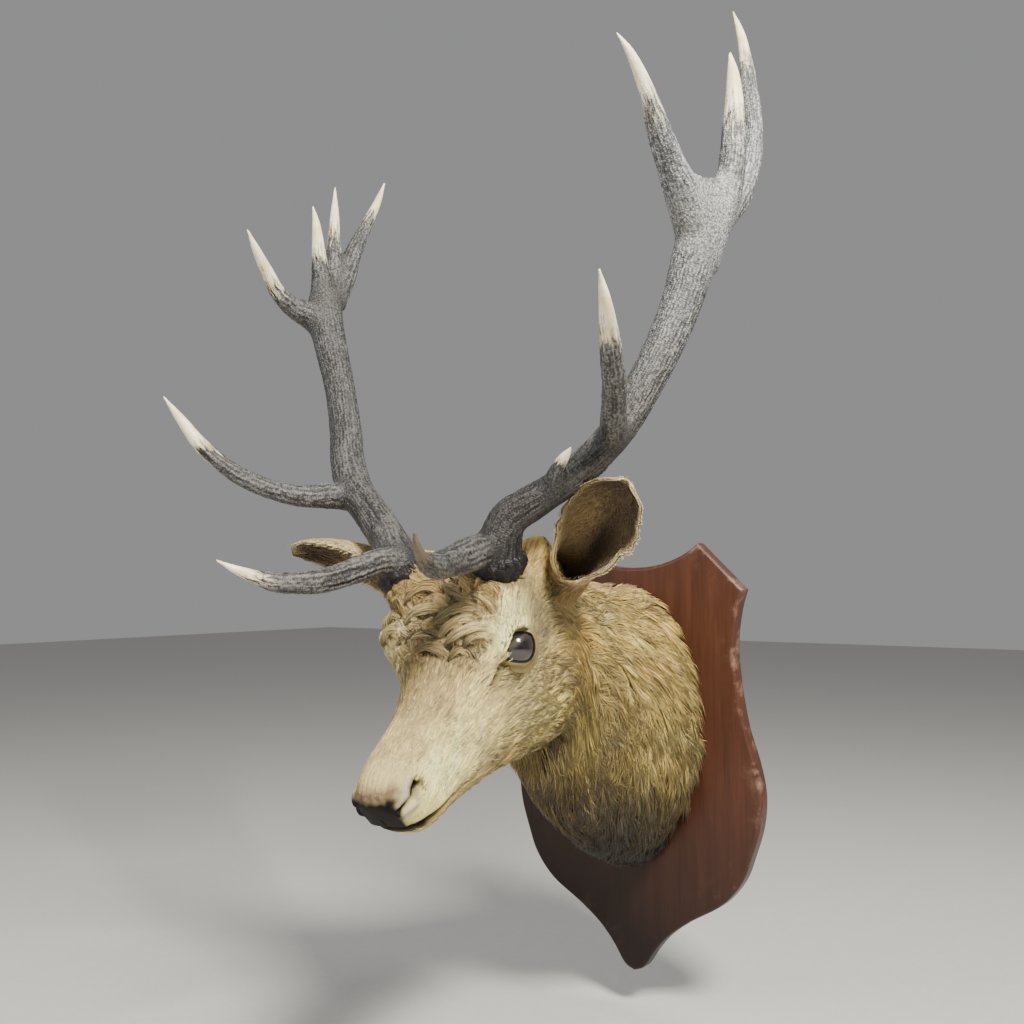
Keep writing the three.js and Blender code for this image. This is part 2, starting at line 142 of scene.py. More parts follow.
class Rail:
    """A monotone cubic through knots, after Fritsch and Carlson."""

    def __init__(self, t: list[float] | Array, y: list[float] | Array) -> None:
        """Works out the slopes: a weighted harmonic mean of the two chords, nothing at a turn.

        Args:
            t: knot places, rising.
            y: knot values.
        """
        self.t, self.y = np.asarray(t, float), np.asarray(y, float)
        self.h = np.diff(self.t)
        chord = np.diff(self.y) / self.h
        before, after = chord[:-1], chord[1:]
        w1, w2 = 2 * self.h[1:] + self.h[:-1], self.h[1:] + 2 * self.h[:-1]
        same = before * after > 0
        safe_b, safe_a = np.where(same, before, 1.0), np.where(same, after, 1.0)
        inner = np.where(same, (w1 + w2) / (w1 / safe_b + w2 / safe_a), 0.0)
        self.m = np.concatenate([chord[:1], inner, chord[-1:]])

    def __call__(self, t: Array) -> Array:
        """The Hermite cubic at t, held at its ends.

        Args:
            t: places along the knots.

        Returns:
            The values there.
        """
        t = np.asarray(t, float)
        i = np.clip(np.searchsorted(self.t, t, side="right") - 1, 0, len(self.h) - 1)
        h = self.h[i]
        u = np.clip((t - self.t[i]) / h, 0.0, 1.0)
        return (
            self.y[i] * (1 + 2 * u) * (1 - u) ** 2 + self.m[i] * h * u * (1 - u) ** 2
            + self.y[i + 1] * u * u * (3 - 2 * u) + self.m[i + 1] * h * u * u * (u - 1)
        )


class Route:
    """A centripetal Catmull-Rom curve through points, with a run along it from 0 to 1."""

    def __init__(self, points: Array) -> None:
        """Keeps the points with one more laid off straight past each end.

        Args:
            points: N by 3.
        """
        p = np.asarray(points, float)
        self.count = len(p)
        self.p = np.vstack([2 * p[0] - p[1], p, 2 * p[-1] - p[-2]])

    def __call__(self, u: Array) -> Array:
        """Points at u: the cubic whose end slopes weigh the chords by the square root of their lengths.

        Args:
            u: N shares of the run.

        Returns:
            N by 3.
        """
        x = np.clip(np.asarray(u, float), 0, 1) * (self.count - 1)
        i = np.minimum(x.astype(int), self.count - 2)
        w = (x - i)[:, None]
        p0, p1, p2, p3 = (self.p[i + k] for k in range(4))
        chords = ((p0, p1), (p1, p2), (p2, p3))
        d0, d1, d2 = (np.sqrt(np.maximum(size(b - a), 1e-6))[:, None] for a, b in chords)
        s1 = ((p1 - p0) / d0 - (p2 - p0) / (d0 + d1) + (p2 - p1) / d1) * d1
        s2 = ((p2 - p1) / d1 - (p3 - p1) / (d1 + d2) + (p3 - p2) / d2) * d1
        c2 = -3 * p1 + 3 * p2 - 2 * s1 - s2
        c3 = 2 * p1 - 2 * p2 + s1 + s2
        return p1 + w * (s1 + w * (c2 + w * c3))


def near(points: Array, path: Path) -> tuple[Array, Array]:
    """Distance from points to a polyline, and the share of its length at the nearest place.

    Args:
        points: N by 3.
        path: the polyline's corners.

    Returns:
        The N distances and the N shares from 0 to 1.
    """
    corners = np.asarray(path, float)
    lengths = size(np.diff(corners, axis=0))
    start = running(lengths)
    best, where = np.full(len(points), 1e9), np.zeros(len(points))
    for i, length in enumerate(lengths):
        along = corners[i + 1] - corners[i]
        u = np.clip((points - corners[i]) @ along / (length * length), 0, 1)
        d = size(points - corners[i] - u[:, None] * along)
        closer = d < best
        best = np.where(closer, d, best)
        where = np.where(closer, (start[i] + u * length) / start[-1], where)
    return best, where


def bell(distance: Array, width: Array | float) -> Array:
    """A Gaussian of the distance that falls to 1/e at the width."""
    return np.exp(-((distance / width) ** 2))


# ------------------------------------------------------------------ meshes
@dataclass
class Shape:
    """Arrays of one mesh: points in millimetres, faces, colours per point and an unwrap per point."""

    points: Array
    faces: list[Array]
    tint: Array | None = None
    unwrap: Array | None = None
    extra: dict[str, Array] = field(default_factory=dict)

    def triangles(self) -> int:
        """How many triangles the faces make."""
        return sum(len(f) * (f.shape[1] - 2) for f in self.faces)

    def object(self, name: str, finish: bpy.types.Material, smooth: bool = True) -> bpy.types.Object:
        """Writes the arrays into a new object at the origin.

        Args:
            name: the piece's name.
            finish: its material.
            smooth: shades the faces smooth.

        Returns:
            The new object, linked to the scene.
        """
        mesh = bpy.data.meshes.new(name)
        mesh.vertices.add(len(self.points))
        mesh.vertices.foreach_set("co", (self.points * MM).astype(np.float32).ravel())
        corners = np.concatenate([f.ravel() for f in self.faces]).astype(np.int32)
        sizes = np.concatenate([np.full(len(f), f.shape[1]) for f in self.faces])
        starts = np.concatenate([[0], np.cumsum(sizes)[:-1]]).astype(np.int32)
        mesh.loops.add(len(corners))
        mesh.loops.foreach_set("vertex_index", corners)
        mesh.polygons.add(len(sizes))
        mesh.polygons.foreach_set("loop_start", starts)
        mesh.update(calc_edges=True)
        mesh.validate()
        mesh.polygons.foreach_set("use_smooth", np.full(len(mesh.polygons), smooth))
        if self.tint is not None:
            layer = mesh.attributes.new("Coat", "FLOAT_COLOR", "POINT")
            rgba = np.ones((len(self.points), 4), np.float32)
            rgba[:, :3] = self.tint
            layer.data.foreach_set("color", rgba.ravel())
        for key, values in self.extra.items():
            kind = "FLOAT" if values.ndim == 1 else "FLOAT_VECTOR"
            layer = mesh.attributes.new(key, kind, "POINT")
            layer.data.foreach_set(
                "value" if values.ndim == 1 else "vector", values.astype(np.float32).ravel()
            )
        if self.unwrap is not None:
            index = np.zeros(len(mesh.loops), np.int32)
            mesh.loops.foreach_get("vertex_index", index)
            mesh.uv_layers.new(name=UNWRAP).data.foreach_set(
                "uv", self.unwrap[index].astype(np.float32).ravel()
            )
        mesh.materials.append(finish)
        made = bpy.data.objects.new(name, mesh)
        bpy.context.scene.collection.objects.link(made)
        return made


def joined(shapes: list[Shape]) -> Shape:
    """Shapes as one mesh.

    Args:
        shapes: shapes with the same attributes.

    Returns:
        The joined shape.
    """
    starts = running([len(shape.points) for shape in shapes]).astype(int)
    tints, unwraps = [shape.tint for shape in shapes], [shape.unwrap for shape in shapes]
    return Shape(
        np.concatenate([shape.points for shape in shapes]),
        [f + start for shape, start in zip(shapes, starts) for f in shape.faces],
        None if tints[0] is None else np.concatenate(tints),
        None if unwraps[0] is None else np.concatenate(unwraps),
        {key: np.concatenate([shape.extra[key] for shape in shapes]) for key in shapes[0].extra},
    )


def tube_faces(rows: int, cols: int, turned: bool = False) -> list[Array]:
    """Faces of rows of points, each row closed on itself, with a fan at each end to a pole.

    Args:
        rows: how many rows of points.
        cols: how many points in a row.
        turned: lays the faces the other way round.

    Returns:
        The quads and the two fans, whose poles are the two points after the rows.
    """
    i, j = np.meshgrid(np.arange(rows - 1), np.arange(cols), indexing="ij")
    a, b = i * cols + j, i * cols + (j + 1) % cols
    quads = np.stack([a, b, b + cols, a + cols], axis=-1).reshape(-1, 4)
    this, that = (a[0], b[0]) if turned else (b[0], a[0])
    last, pole = (rows - 1) * cols, np.full(cols, rows * cols)
    fans = [np.stack([pole, this, that], axis=1), np.stack([pole + 1, last + that, last + this], axis=1)]
    return [quads[:, ::-1] if turned else quads] + fans


def poles(p: Array, cols: int) -> Array:
    """The middles of the first and the last row of a grid."""
    return np.array([p[:cols].mean(0), p[-cols:].mean(0)])


def prisms(
    paths: Array, normals: Array, widths: Array, tint: Array, root: Array, thick: float = 0.45
) -> Shape:
    """Solid hairs: a three-sided blade carried along each path, with its keel outwards, pointed at the tip.

    Args:
        paths: K by R by 3, the middle line of each blade, root first, tip last.
        normals: K by R by 3, the way out of the skin along it.
        widths: K by R, the last not used.
        tint: K by R by 3, colours along each blade.
        root: K by 2, each root's place on the unwrap.
        thick: keel height as a share of the width.

    Returns:
        The blades as one shape.
    """
    count, rings = paths.shape[:2]
    along = unit(np.gradient(paths, axis=1))
    side = unit(np.cross(along, normals))
    keel = unit(np.cross(side, along))
    w = widths[:, :-1, None]
    body, tip = paths[:, :-1], paths[:, -1:]
    left = body - side[:, :-1] * w / 2
    top = body + keel[:, :-1] * w * thick
    right = body + side[:, :-1] * w / 2
    ring = np.stack([left, top, right], axis=2).reshape(count, -1, 3)
    points = np.concatenate([ring, tip], axis=1)
    each = points.shape[1]
    sides = [(k, (k + 1) % 3) for k in range(3)]
    quads = np.array(
        [[3 * r + k, 3 * r + m, 3 * r + 3 + m, 3 * r + 3 + k] for r in range(rings - 2) for k, m in sides]
    )
    last = 3 * (rings - 2)
    ends = np.array([[last + k, last + m, each - 1] for k, m in sides] + [[0, 2, 1]])
    shift = (np.arange(count) * each)[:, None, None]
    colour = np.concatenate([np.repeat(tint[:, :-1], 3, axis=1), tint[:, -1:]], axis=1)
    s = np.linspace(-0.5, 0.5, rings)
    place = np.stack([np.tile([-0.5, 0.0, 0.5], rings - 1), np.repeat(s[:-1], 3)], axis=1)
    place = np.vstack([place, [0.0, s[-1]]]) * PATCH_SIDE
    return Shape(
        points.reshape(-1, 3),
        [(quads[None] + shift).reshape(-1, 4), (ends[None] + shift).reshape(-1, 3)],
        colour.reshape(-1, 3),
        (root[:, None] + place[None]).reshape(-1, 2),
    )


# ------------------------------------------------------------------ finishes
WHITE = (255, 255, 255)


class Nodes:
    """A short hand for making a material's nodes."""

    def __init__(self, name: str) -> None:
        """Starts a material with a Principled surface.

        Args:
            name: the material's name.
        """
        self.material = bpy.data.materials.new(name)
        self.material.use_nodes = True
        self.tree = self.material.node_tree
        self.surface = self.tree.nodes["Principled BSDF"]

    def add(
        self, kind: str, inputs: dict[str | int, object] | None = None, **settings: object
    ) -> bpy.types.Node:
        """Adds a node.

        Args:
            kind: the node's type without its ShaderNode prefix.
            inputs: values, or sockets to link from, by socket.
            settings: the node's own properties.

        Returns:
            The new node.
        """
        node = self.tree.nodes.new("ShaderNode" + kind)
        for key, value in settings.items():
            setattr(node, key, value)
        self.feed(node, inputs or {})
        return node

    def feed(self, node: bpy.types.Node, inputs: dict[str | int, object]) -> None:
        """Sets or links a node's sockets.

        Args:
            node: the node.
            inputs: values, or sockets to link from, by socket.
        """
        for key, value in inputs.items():
            if isinstance(value, Socket):
                self.tree.links.new(value, node.inputs[key])
            else:
                node.inputs[key].default_value = value

    def attribute(self, name: str) -> bpy.types.Node:
        """A mesh attribute."""
        return self.add("Attribute", attribute_name=name)

    def math(self, operation: str, a: object, b: object = 0.0) -> Socket:
        """One sum of two numbers."""
        return self.add("Math", {0: a, 1: b}, operation=operation).outputs[0]

    def plus(self, a: object, b: object) -> Socket:
        """Two numbers added."""
        return self.math("ADD", a, b)

    def minus(self, a: object, b: object) -> Socket:
        """The second number taken from the first."""
        return self.math("SUBTRACT", a, b)

    def times(self, a: object, b: object) -> Socket:
        """Two numbers multiplied."""
        return self.math("MULTIPLY", a, b)

    def factor(self, name: str) -> Socket:
        """A mesh attribute's number."""
        return self.attribute(name).outputs["Fac"]

    def place(self) -> Socket:
        """Object coordinates."""
        return self.add("TexCoord").outputs["Object"]

    def noise(self, vector: object, scale: float, detail: float = 2.0, rough: float = 0.5) -> Socket:
        """Noise between 0 and 1 on a vector."""
        inputs = {"Vector": vector, "Scale": scale, "Detail": detail, "Roughness": rough}
        return self.add("TexNoise", inputs).outputs["Fac"]

    def cells(self, vector: object, scale: float) -> Socket:
        """Distance from the middles of rounded cells.

        Args:
            vector: where the cells lie.
            scale: cells per unit.

        Returns:
            The distance.
        """
        return self.add(
            "TexVoronoi", {"Vector": vector, "Scale": scale}, feature="SMOOTH_F1"
        ).outputs["Distance"]

    def stretch(self, vector: object, scale: Point) -> Socket:
        """A vector scaled by a Mapping node."""
        return self.add("Mapping", {"Vector": vector, "Scale": scale}).outputs[0]

    def ramp(self, value: object, stops: list[tuple[float, Point]]) -> Socket:
        """A colour ramp through stops of place and display colour.

        Args:
            value: where on the ramp.
            stops: place and colour, rising.

        Returns:
            The colour.
        """
        node = self.add("ValToRGB", {0: value})
        while len(node.color_ramp.elements) < len(stops):
            node.color_ramp.elements.new(0.5)
        for element, (place, rgb) in zip(node.color_ramp.elements, stops):
            element.position = place
            element.color = (*linear(rgb), 1.0)
        return node.outputs[0]

    def blend(self, factor: object, a: object, b: object, kind: str = "MIX") -> Socket:
        """Two colours mixed.

        Args:
            factor: the second one's share.
            a: the first colour.
            b: the second colour.
            kind: how they mix.

        Returns:
            The colour.
        """
        node = self.add("Mix", data_type="RGBA", blend_type=kind)
        self.feed(node, {0: factor, 6: a, 7: b})
        return node.outputs[2]

    def bump(self, height: object, strength: float, depth: float, under: object | None = None) -> Socket:
        """A bump of a height field, over an earlier one.

        Args:
            height: the field.
            strength: its share.
            depth: metres from low to high.
            under: the earlier bump's normal.

        Returns:
            The normal.
        """
        inputs = {"Height": height, "Strength": strength, "Distance": depth}
        if under is not None:
            inputs["Normal"] = under
        return self.add("Bump", inputs).outputs[0]


@dataclass(frozen=True)
class HairFinish:
    """Deer hair: matt, a little sheen, the colour from the coat's own attribute."""

    rough: float = 0.5
    sheen: float = 0.1

    def make(self, name: str) -> bpy.types.Material:
        """The finish of the loose coat.

        Args:
            name: the material's name.

        Returns:
            The material.
        """
        n = Nodes(name)
        coat = n.attribute("Coat").outputs["Color"]
        place = n.place()
        fleck = n.ramp(n.noise(place, 420.0, 2.0), [(0.25, (226, 222, 212)), (0.75, WHITE)])
        n.feed(n.surface, {
            "Base Color": n.blend(0.6, coat, fleck, "MULTIPLY"),
            "Roughness": self.rough, "Sheen Weight": self.sheen, "Sheen Roughness": 0.5,
            "Specular IOR Level": 0.28,
        })
        return n.material


@dataclass(frozen=True)
class SkinFinish:
    """Short-haired hide with a bare, pebbled nose: hair streaks run with the lie of the coat."""

    hair_rough: float = 0.7
    nose_rough: float = 0.62

    def make(self, name: str) -> bpy.types.Material:
        """The finish of the skin.

        Args:
            name: the material's name.

        Returns:
            The material.
        """
        n = Nodes(name)
        coat = n.attribute("Coat").outputs["Color"]
        bare = n.factor("Bare")
        fibre = n.attribute("Fibre").outputs["Vector"]
        place = n.place()
        streak = n.noise(n.stretch(fibre, (150.0, 1300.0, 150.0)), 1.0, 3.0)
        hair = n.ramp(streak, [(0.3, (165, 155, 140)), (0.7, WHITE)])
        pebble = n.cells(place, 620.0)
        haired = n.minus(1.0, bare)
        hair_bump = n.bump(n.times(streak, haired), 0.55, 0.0009)
        nose_bump = n.bump(n.times(pebble, bare), 0.6, 0.0007, hair_bump)
        n.feed(n.surface, {
            "Base Color": n.blend(n.times(haired, 0.65), coat, hair, "MULTIPLY"),
            "Roughness": n.plus(self.hair_rough, n.times(bare, self.nose_rough - self.hair_rough)),
            "Normal": nose_bump, "Specular IOR Level": 0.18,
        })
        return n.material


@dataclass(frozen=True)
class AntlerFinish:
    """Weathered antler: grey bone with dark pits between pale worn pearls, ivory tips and a dark burr, darker
    low down and paler high on the lit left antler as painted light, with painted shade on one brow tine.
    """

    pit: Rgb = (74, 75, 78)
    bone: Rgb = (146, 148, 150)
    worn: Rgb = (212, 213, 212)
    ivory: Rgb = (255, 250, 218)
    pitch: float = 0.0029
    stray: float = 0.007

    def make(self, name: str) -> bpy.types.Material:
        """The finish of an antler.

        Args:
            name: the material's name.

        Returns:
            The material.
        """
        n = Nodes(name)
        rod = n.attribute("Rod").outputs["Vector"]
        rows = n.factor("Rows")
        relief = n.factor("Relief")
        tip = n.factor("Tip")
        burr = n.factor("Burr")
        age_and_light = n.factor("AgeAndLight")
        web = n.factor("Web")
        place = n.place()
        drift = n.add("TexNoise", {"Vector": rod, "Scale": 70.0}).outputs["Color"]
        strayed = {0: drift, 1: (self.stray, self.stray, self.stray), 2: rod}
        bent = n.add("VectorMath", strayed, operation="MULTIPLY_ADD").outputs[0]
        axes = n.add("SeparateXYZ", {0: bent})
        angle = n.math("ARCTAN2", axes.outputs[1], axes.outputs[0])
        row = n.math("DIVIDE", n.times(angle, rows), 2 * math.pi)
        step = n.plus(n.math("DIVIDE", axes.outputs[2], self.pitch), n.times(n.math("ROUND", row), 0.37))
        ridge = n.plus(0.5, n.times(n.math("COSINE", n.times(angle, rows)), 0.5))
        bead = n.plus(0.5, n.times(n.math("COSINE", n.times(step, 2 * math.pi)), 0.5))
        strung = n.times(ridge, n.plus(0.3, n.times(bead, 0.7)))
        pearl = n.cells(n.stretch(bent, (1.0, 1.0, 0.8)), 350.0)
        loose = n.cells(place, 420.0)
        fine = n.noise(place, 800.0, 2.0)
        furrow = n.noise(n.stretch(bent, (260.0, 260.0, 26.0)), 1.0, 3.0, 0.55)
        raised = n.plus(n.times(strung, 0.34), n.times(n.minus(0.9, pearl), 0.85))
        lines = n.minus(0.5, n.times(age_and_light, 0.3))
        height = n.plus(n.times(raised, 0.9), n.times(furrow, lines))
        plain = n.minus(1.02, n.times(loose, 0.75))
        height = n.plus(n.times(height, n.minus(1.0, web)), n.times(plain, web))
        shade = n.plus(n.plus(height, n.times(relief, 0.22)), n.times(fine, 0.12))
        bone = n.ramp(shade, [(0.36, self.pit), (0.58, (100, 101, 103)), (0.78, self.bone), (1.0, self.worn)])
        # Age and painted light: the factor darkens the oiled base and pales the bone higher up, where the
        # light falls.
        pale = n.ramp(age_and_light, [(0.0, (82, 79, 77)), (0.3, (158, 156, 154)), (0.85, WHITE)])
        bone = n.blend(1.0, bone, pale, "MULTIPLY")
        wash = n.ramp(n.noise(place, 16.0, 3.0), [(0.35, (222, 218, 211)), (0.65, WHITE)])
        bone = n.blend(0.8, bone, wash, "MULTIPLY")
        bone = n.blend(n.times(burr, 0.9), bone, (*linear((9, 8, 8)), 1.0))
        ragged = n.plus(tip, n.times(n.minus(furrow, 0.5), 0.8))
        pale = n.add("MapRange", {"Value": ragged, "From Min": 0.42, "From Max": 0.60}).outputs[0]
        ivory_tone = n.ramp(n.noise(rod, 60.0, 3.0), [(0.3, (234, 216, 166)), (0.65, self.ivory)])
        # Painted shade: the ivory of the left brow tine is dimmed to brown, as it lies in shadow.
        ivory_tone = n.blend(n.factor("BrowShade"), ivory_tone, (*linear((84, 71, 52)), 1.0))
        soft = n.minus(1.0, n.times(pale, 0.9))
        n.feed(n.surface, {
            "Base Color": n.blend(pale, bone, ivory_tone),
            "Roughness": n.plus(0.36, n.times(soft, 0.22)),
            "Normal": n.bump(n.times(height, soft), 1.0, 0.0018),
            "Specular IOR Level": 0.42,
        })
        return n.material


@dataclass(frozen=True)
class BoardFinish:
    """Satin-varnished hardwood, stained, its long grain upright, the bevel rubbed pale in places, darkened
    toward the lower left as painted shadow.
    """

    dark: Rgb = (65, 37, 25)
    light: Rgb = (84, 51, 36)
    rubbed: Rgb = (150, 120, 104)

    def make(self, name: str) -> bpy.types.Material:
        """The finish of the board.

        Args:
            name: the material's name.

        Returns:
            The material.
        """
        n = Nodes(name)
        place = n.place()
        edge = n.factor("Edge")
        grain = n.noise(n.stretch(place, (75.0, 75.0, 5.0)), 1.0, 5.0, 0.6)
        pores = n.noise(n.stretch(place, (620.0, 620.0, 22.0)), 1.0, 2.0)
        wood = n.ramp(grain, [(0.3, self.dark), (0.5, (74, 44, 31)), (0.75, self.light)])
        # Painted shadow: the wood is darkened toward the lower left, where the neck's shadow falls.
        axes = n.add("SeparateXYZ", {0: place})
        slanted = n.plus(axes.outputs[2], n.times(axes.outputs[0], 0.45))
        down = n.add("MapRange", {"Value": slanted, "From Min": -0.26, "From Max": 0.05}).outputs[0]
        wood = n.blend(1.0, wood, n.ramp(down, [(0.0, (88, 76, 70)), (1.0, WHITE)]), "MULTIPLY")
        wood = n.blend(0.45, wood, n.ramp(pores, [(0.3, (205, 190, 182)), (0.48, WHITE)]), "MULTIPLY")
        rubs = n.ramp(n.noise(place, 34.0, 4.0, 0.7), [(0.54, (0, 0, 0)), (0.74, WHITE)])
        wear = n.times(edge, rubs)
        # The rubbed wear is faded out toward the lower left along the same painted-shadow ramp.
        wear = n.times(wear, n.plus(0.3, n.times(down, 0.7)))
        n.feed(n.surface, {
            "Base Color": n.blend(n.times(wear, 0.65), wood, (*linear(self.rubbed), 1.0)),
            "Roughness": n.plus(0.3, n.times(grain, 0.16)),
            "Normal": n.bump(n.plus(n.times(pores, 0.5), grain), 0.08, 0.0005),
            "Coat Weight": 0.14, "Coat Roughness": 0.25, "Specular IOR Level": 0.25,
        })
        return n.material


@dataclass(frozen=True)
class EyeFinish:
    """Painted glass: a near-black pupil in a brown iris under a clear, slightly dusty cornea."""

    dusty: float = 0.15

    def make(self, name: str) -> bpy.types.Material:
        """The finish of an eye.

        Args:
            name: the material's name.

        Returns:
            The material.
        """
        n = Nodes(name)
        iris = n.attribute("Coat").outputs["Color"]
        place = n.place()
        haze = n.ramp(n.noise(place, 160.0, 3.0), [(0.35, (7, 6, 6)), (0.8, (44, 41, 39))])
        n.feed(n.surface, {
            "Base Color": n.blend(0.5, iris, haze, "ADD"),
            "Roughness": self.dusty, "Coat Weight": 1.0, "Coat Roughness": 0.06, "Specular IOR Level": 0.5,
        })
        return n.material


@dataclass(frozen=True)
class PlainFinish:
    """An even floor colour with a faint mottling."""

    rgb: Rgb
    rough: float = 0.8

    def make(self, name: str) -> bpy.types.Material:
        """The finish.

        Args:
            name: the material's name.

        Returns:
            The material.
        """
        n = Nodes(name)
        place = n.place()
        base = linear(self.rgb)
        tone = n.add(
            "MapRange", {"Value": n.noise(place, 90.0, 2.0), "To Min": 0.0, "To Max": 1.0}
        ).outputs[0]
        tone = n.blend(tone, (*(base * 0.9), 1.0), (*base, 1.0))
        n.feed(n.surface, {"Base Color": tone, "Roughness": self.rough})
        return n.material


# ------------------------------------------------------------------ the body's form
@dataclass(frozen=True)
class HeadPose:
    """How the head sits: millimetres and degrees."""

    pitch: float = 40.6
    yaw: float = 2.5
    roll: float = 5.25
    nose: Point = (0.0, -609.0, 32.2)
    pivot: Point = (0.0, -250.0, -153.0)

    @property
    def axes(self) -> Array:
        """Rows: the stag's left, back along the face, out of the forehead."""
        a = math.radians(self.pitch)
        return np.array([[1, 0, 0], [0, math.cos(a), math.sin(a)], [0, -math.sin(a), math.cos(a)]])

    def turned(self, p: Array, share: Array | float) -> Array:
        """Points rolled about the line of the neck and then yawed, by a share of the head's turn.

        Args:
            p: N by 3.
            share: one number, or N of them.

        Returns:
            The turned points.
        """
        r = p - np.array(self.pivot)
        a = -math.radians(self.roll) * np.asarray(share)
        c = math.radians(self.yaw) * np.asarray(share)
        x = np.cos(a) * r[:, 0] + np.sin(a) * r[:, 2]
        z = -np.sin(a) * r[:, 0] + np.cos(a) * r[:, 2]
        y = r[:, 1]
        x, y = np.cos(c) * x - np.sin(c) * y, np.sin(c) * x + np.cos(c) * y
        return np.stack([x, y, z], axis=1) + np.array(self.pivot)

    def world(self, lab: Array) -> Array:
        """Head frame (left, back, crown) to the object's frame."""
        lab = np.atleast_2d(np.asarray(lab, float))
        return self.turned(np.array(self.nose) + lab @ self.axes, 1.0)

    def local(self, p: Array) -> Array:
        """The object's frame to the head frame: the turn undone, then measured along the axes.

        Args:
            p: N by 3.

        Returns:
            N by 3.
        """
        r = p - np.array(self.pivot)
        a, c = -math.radians(self.roll), math.radians(self.yaw)
        x = math.cos(c) * r[:, 0] + math.sin(c) * r[:, 1]
        y = -math.sin(c) * r[:, 0] + math.cos(c) * r[:, 1]
        x, z = math.cos(a) * x - math.sin(a) * r[:, 2], math.sin(a) * x + math.cos(a) * r[:, 2]
        return (np.stack([x, y, z], axis=1) + np.array(self.pivot) - np.array(self.nose)) @ self.axes.T

    def direction(self, lab: Array) -> Array:
        """A direction of the head frame in the object's frame."""
        return self.world(lab) - self.world(np.zeros(3))


POSE = HeadPose()


def mirrored(lab: Array) -> Array:
    """Head-frame places of either side, brought over to the left."""
    return np.abs(lab) * [1, 0, 0] + lab * [0, 1, 1]


def on_forehead(lab: Array) -> Array:
    """Which head-frame places can belong to the forehead's locks."""
    return (lab[:, 2] > -10) & (lab[:, 1] > 150) & (lab[:, 1] < 340)


# Dorsal a, b, ventral a, b, half width, height of the widest line, roundness.
HEAD_ROWS = [
    (2, -32, 2, -32, 0, 0, 2.2), (3, -12, 5, -52, 24, 0, 2.2), (10, -2, 11, -69, 33, 0, 2.2),
    (24, 5, 26, -86, 39, 0, 2.2), (50, 10, 55, -101, 43, 0.05, 2.2), (90, 9, 95, -118, 41, 0.1, 2.2),
    (130, 10, 135, -138, 45, 0.15, 2.2), (175, 15, 175, -160, 57, 0.3, 2.2),
    (205, 24, 203, -180, 70, 0.45, 2.2), (240, 36, 233, -200, 82, 0.5, 2.2),
    (273, 48, 258, -217, 85, 0.5, 2.2), (308, 55, 279, -231, 85, 0.45, 2.2),
    (340, 53, 297, -240, 85, 0.35, 2.2), (372, 40, 310, -241, 88, 0.2, 2.1),
]
# Dorsal y, z, ventral y, z, half width, height of the widest line, roundness.
NECK_ROWS = [
    (-285, 300, -205, -52, 96, 0.1, 2.0), (-215, 276, -170, -92, 107, 0.05, 1.9),
    (-140, 260, -125, -124, 116, 0, 1.85), (-70, 255, -68, -148, 121, 0, 1.85),
    (-22.35, 256, -22.35, -158, 121, 0, 1.85),
]
# Mirrored swellings of the head: centre, spread and push in the head frame.
SWELLINGS = [
    ((84, 238, 8), (42, 34, 32), (27, -1, 8)), ((62, 195, -42), (26, 28, 15), (-6, 0, 0)),
    ((68, 268, -120), (40, 55, 50), (5, 0, 0)), ((34, 26, -26), (16, 16, 14), (4, -1, 1)),
    ((76, 300, 30), (36, 32, 40), (12, 0, 8)), ((82, 358, 20), (36, 34, 44), (10, 6, 26)),
    ((80, 374, -26), (26, 34, 42), (18, 0, 50)),
]
# Rolled locks of the forehead as ridges of the skin: path in the head frame, height, width.
FOREHEAD_ROLLS = [
    ([(-34, 290, 58), (-8, 288, 54), (-34, 274, 46), (-62, 264, 38)], 10.0, 13.0),
    ([(22, 244, 38), (4, 236, 33), (-20, 233, 31), (-50, 232, 28)], 11.0, 12.0),
    ([(74, 240, 30), (62, 226, 26), (42, 214, 23), (24, 208, 22)], 9.0, 11.0),
    ([(44, 286, 54), (22, 272, 48), (4, 262, 43), (-24, 256, 37)], 9.0, 12.0),
    ([(62, 266, 44), (50, 250, 38), (34, 238, 34), (18, 230, 30)], 8.0, 10.0),
    ([(-22, 220, 27), (-36, 212, 24), (-52, 208, 20)], 7.0, 10.0),
    ([(60, 300, 55), (20, 308, 58), (-30, 306, 56), (-70, 298, 48)], 7.0, 13.0),
    ([(-62, 252, 36), (-72, 242, 28)], 5.0, 11.0),
    ([(20, 212, 24), (0, 206, 22), (-16, 208, 22)], 6.0, 9.0),
    ([(54, 200, 14), (48, 190, 6), (52, 182, -14)], 3.5, 6.0),
]
# Hair raised round the front of each burr.
BURR_RINGS = [
    ([(24, 300, 58), (38, 276, 54), (60, 266, 50), (82, 275, 42), (95, 294, 33)], 26.0, 13.0),
    ([(-38, 306, 54), (-50, 284, 50), (-72, 273, 42), (-97, 290, 28)], 24.0, 13.0),
]
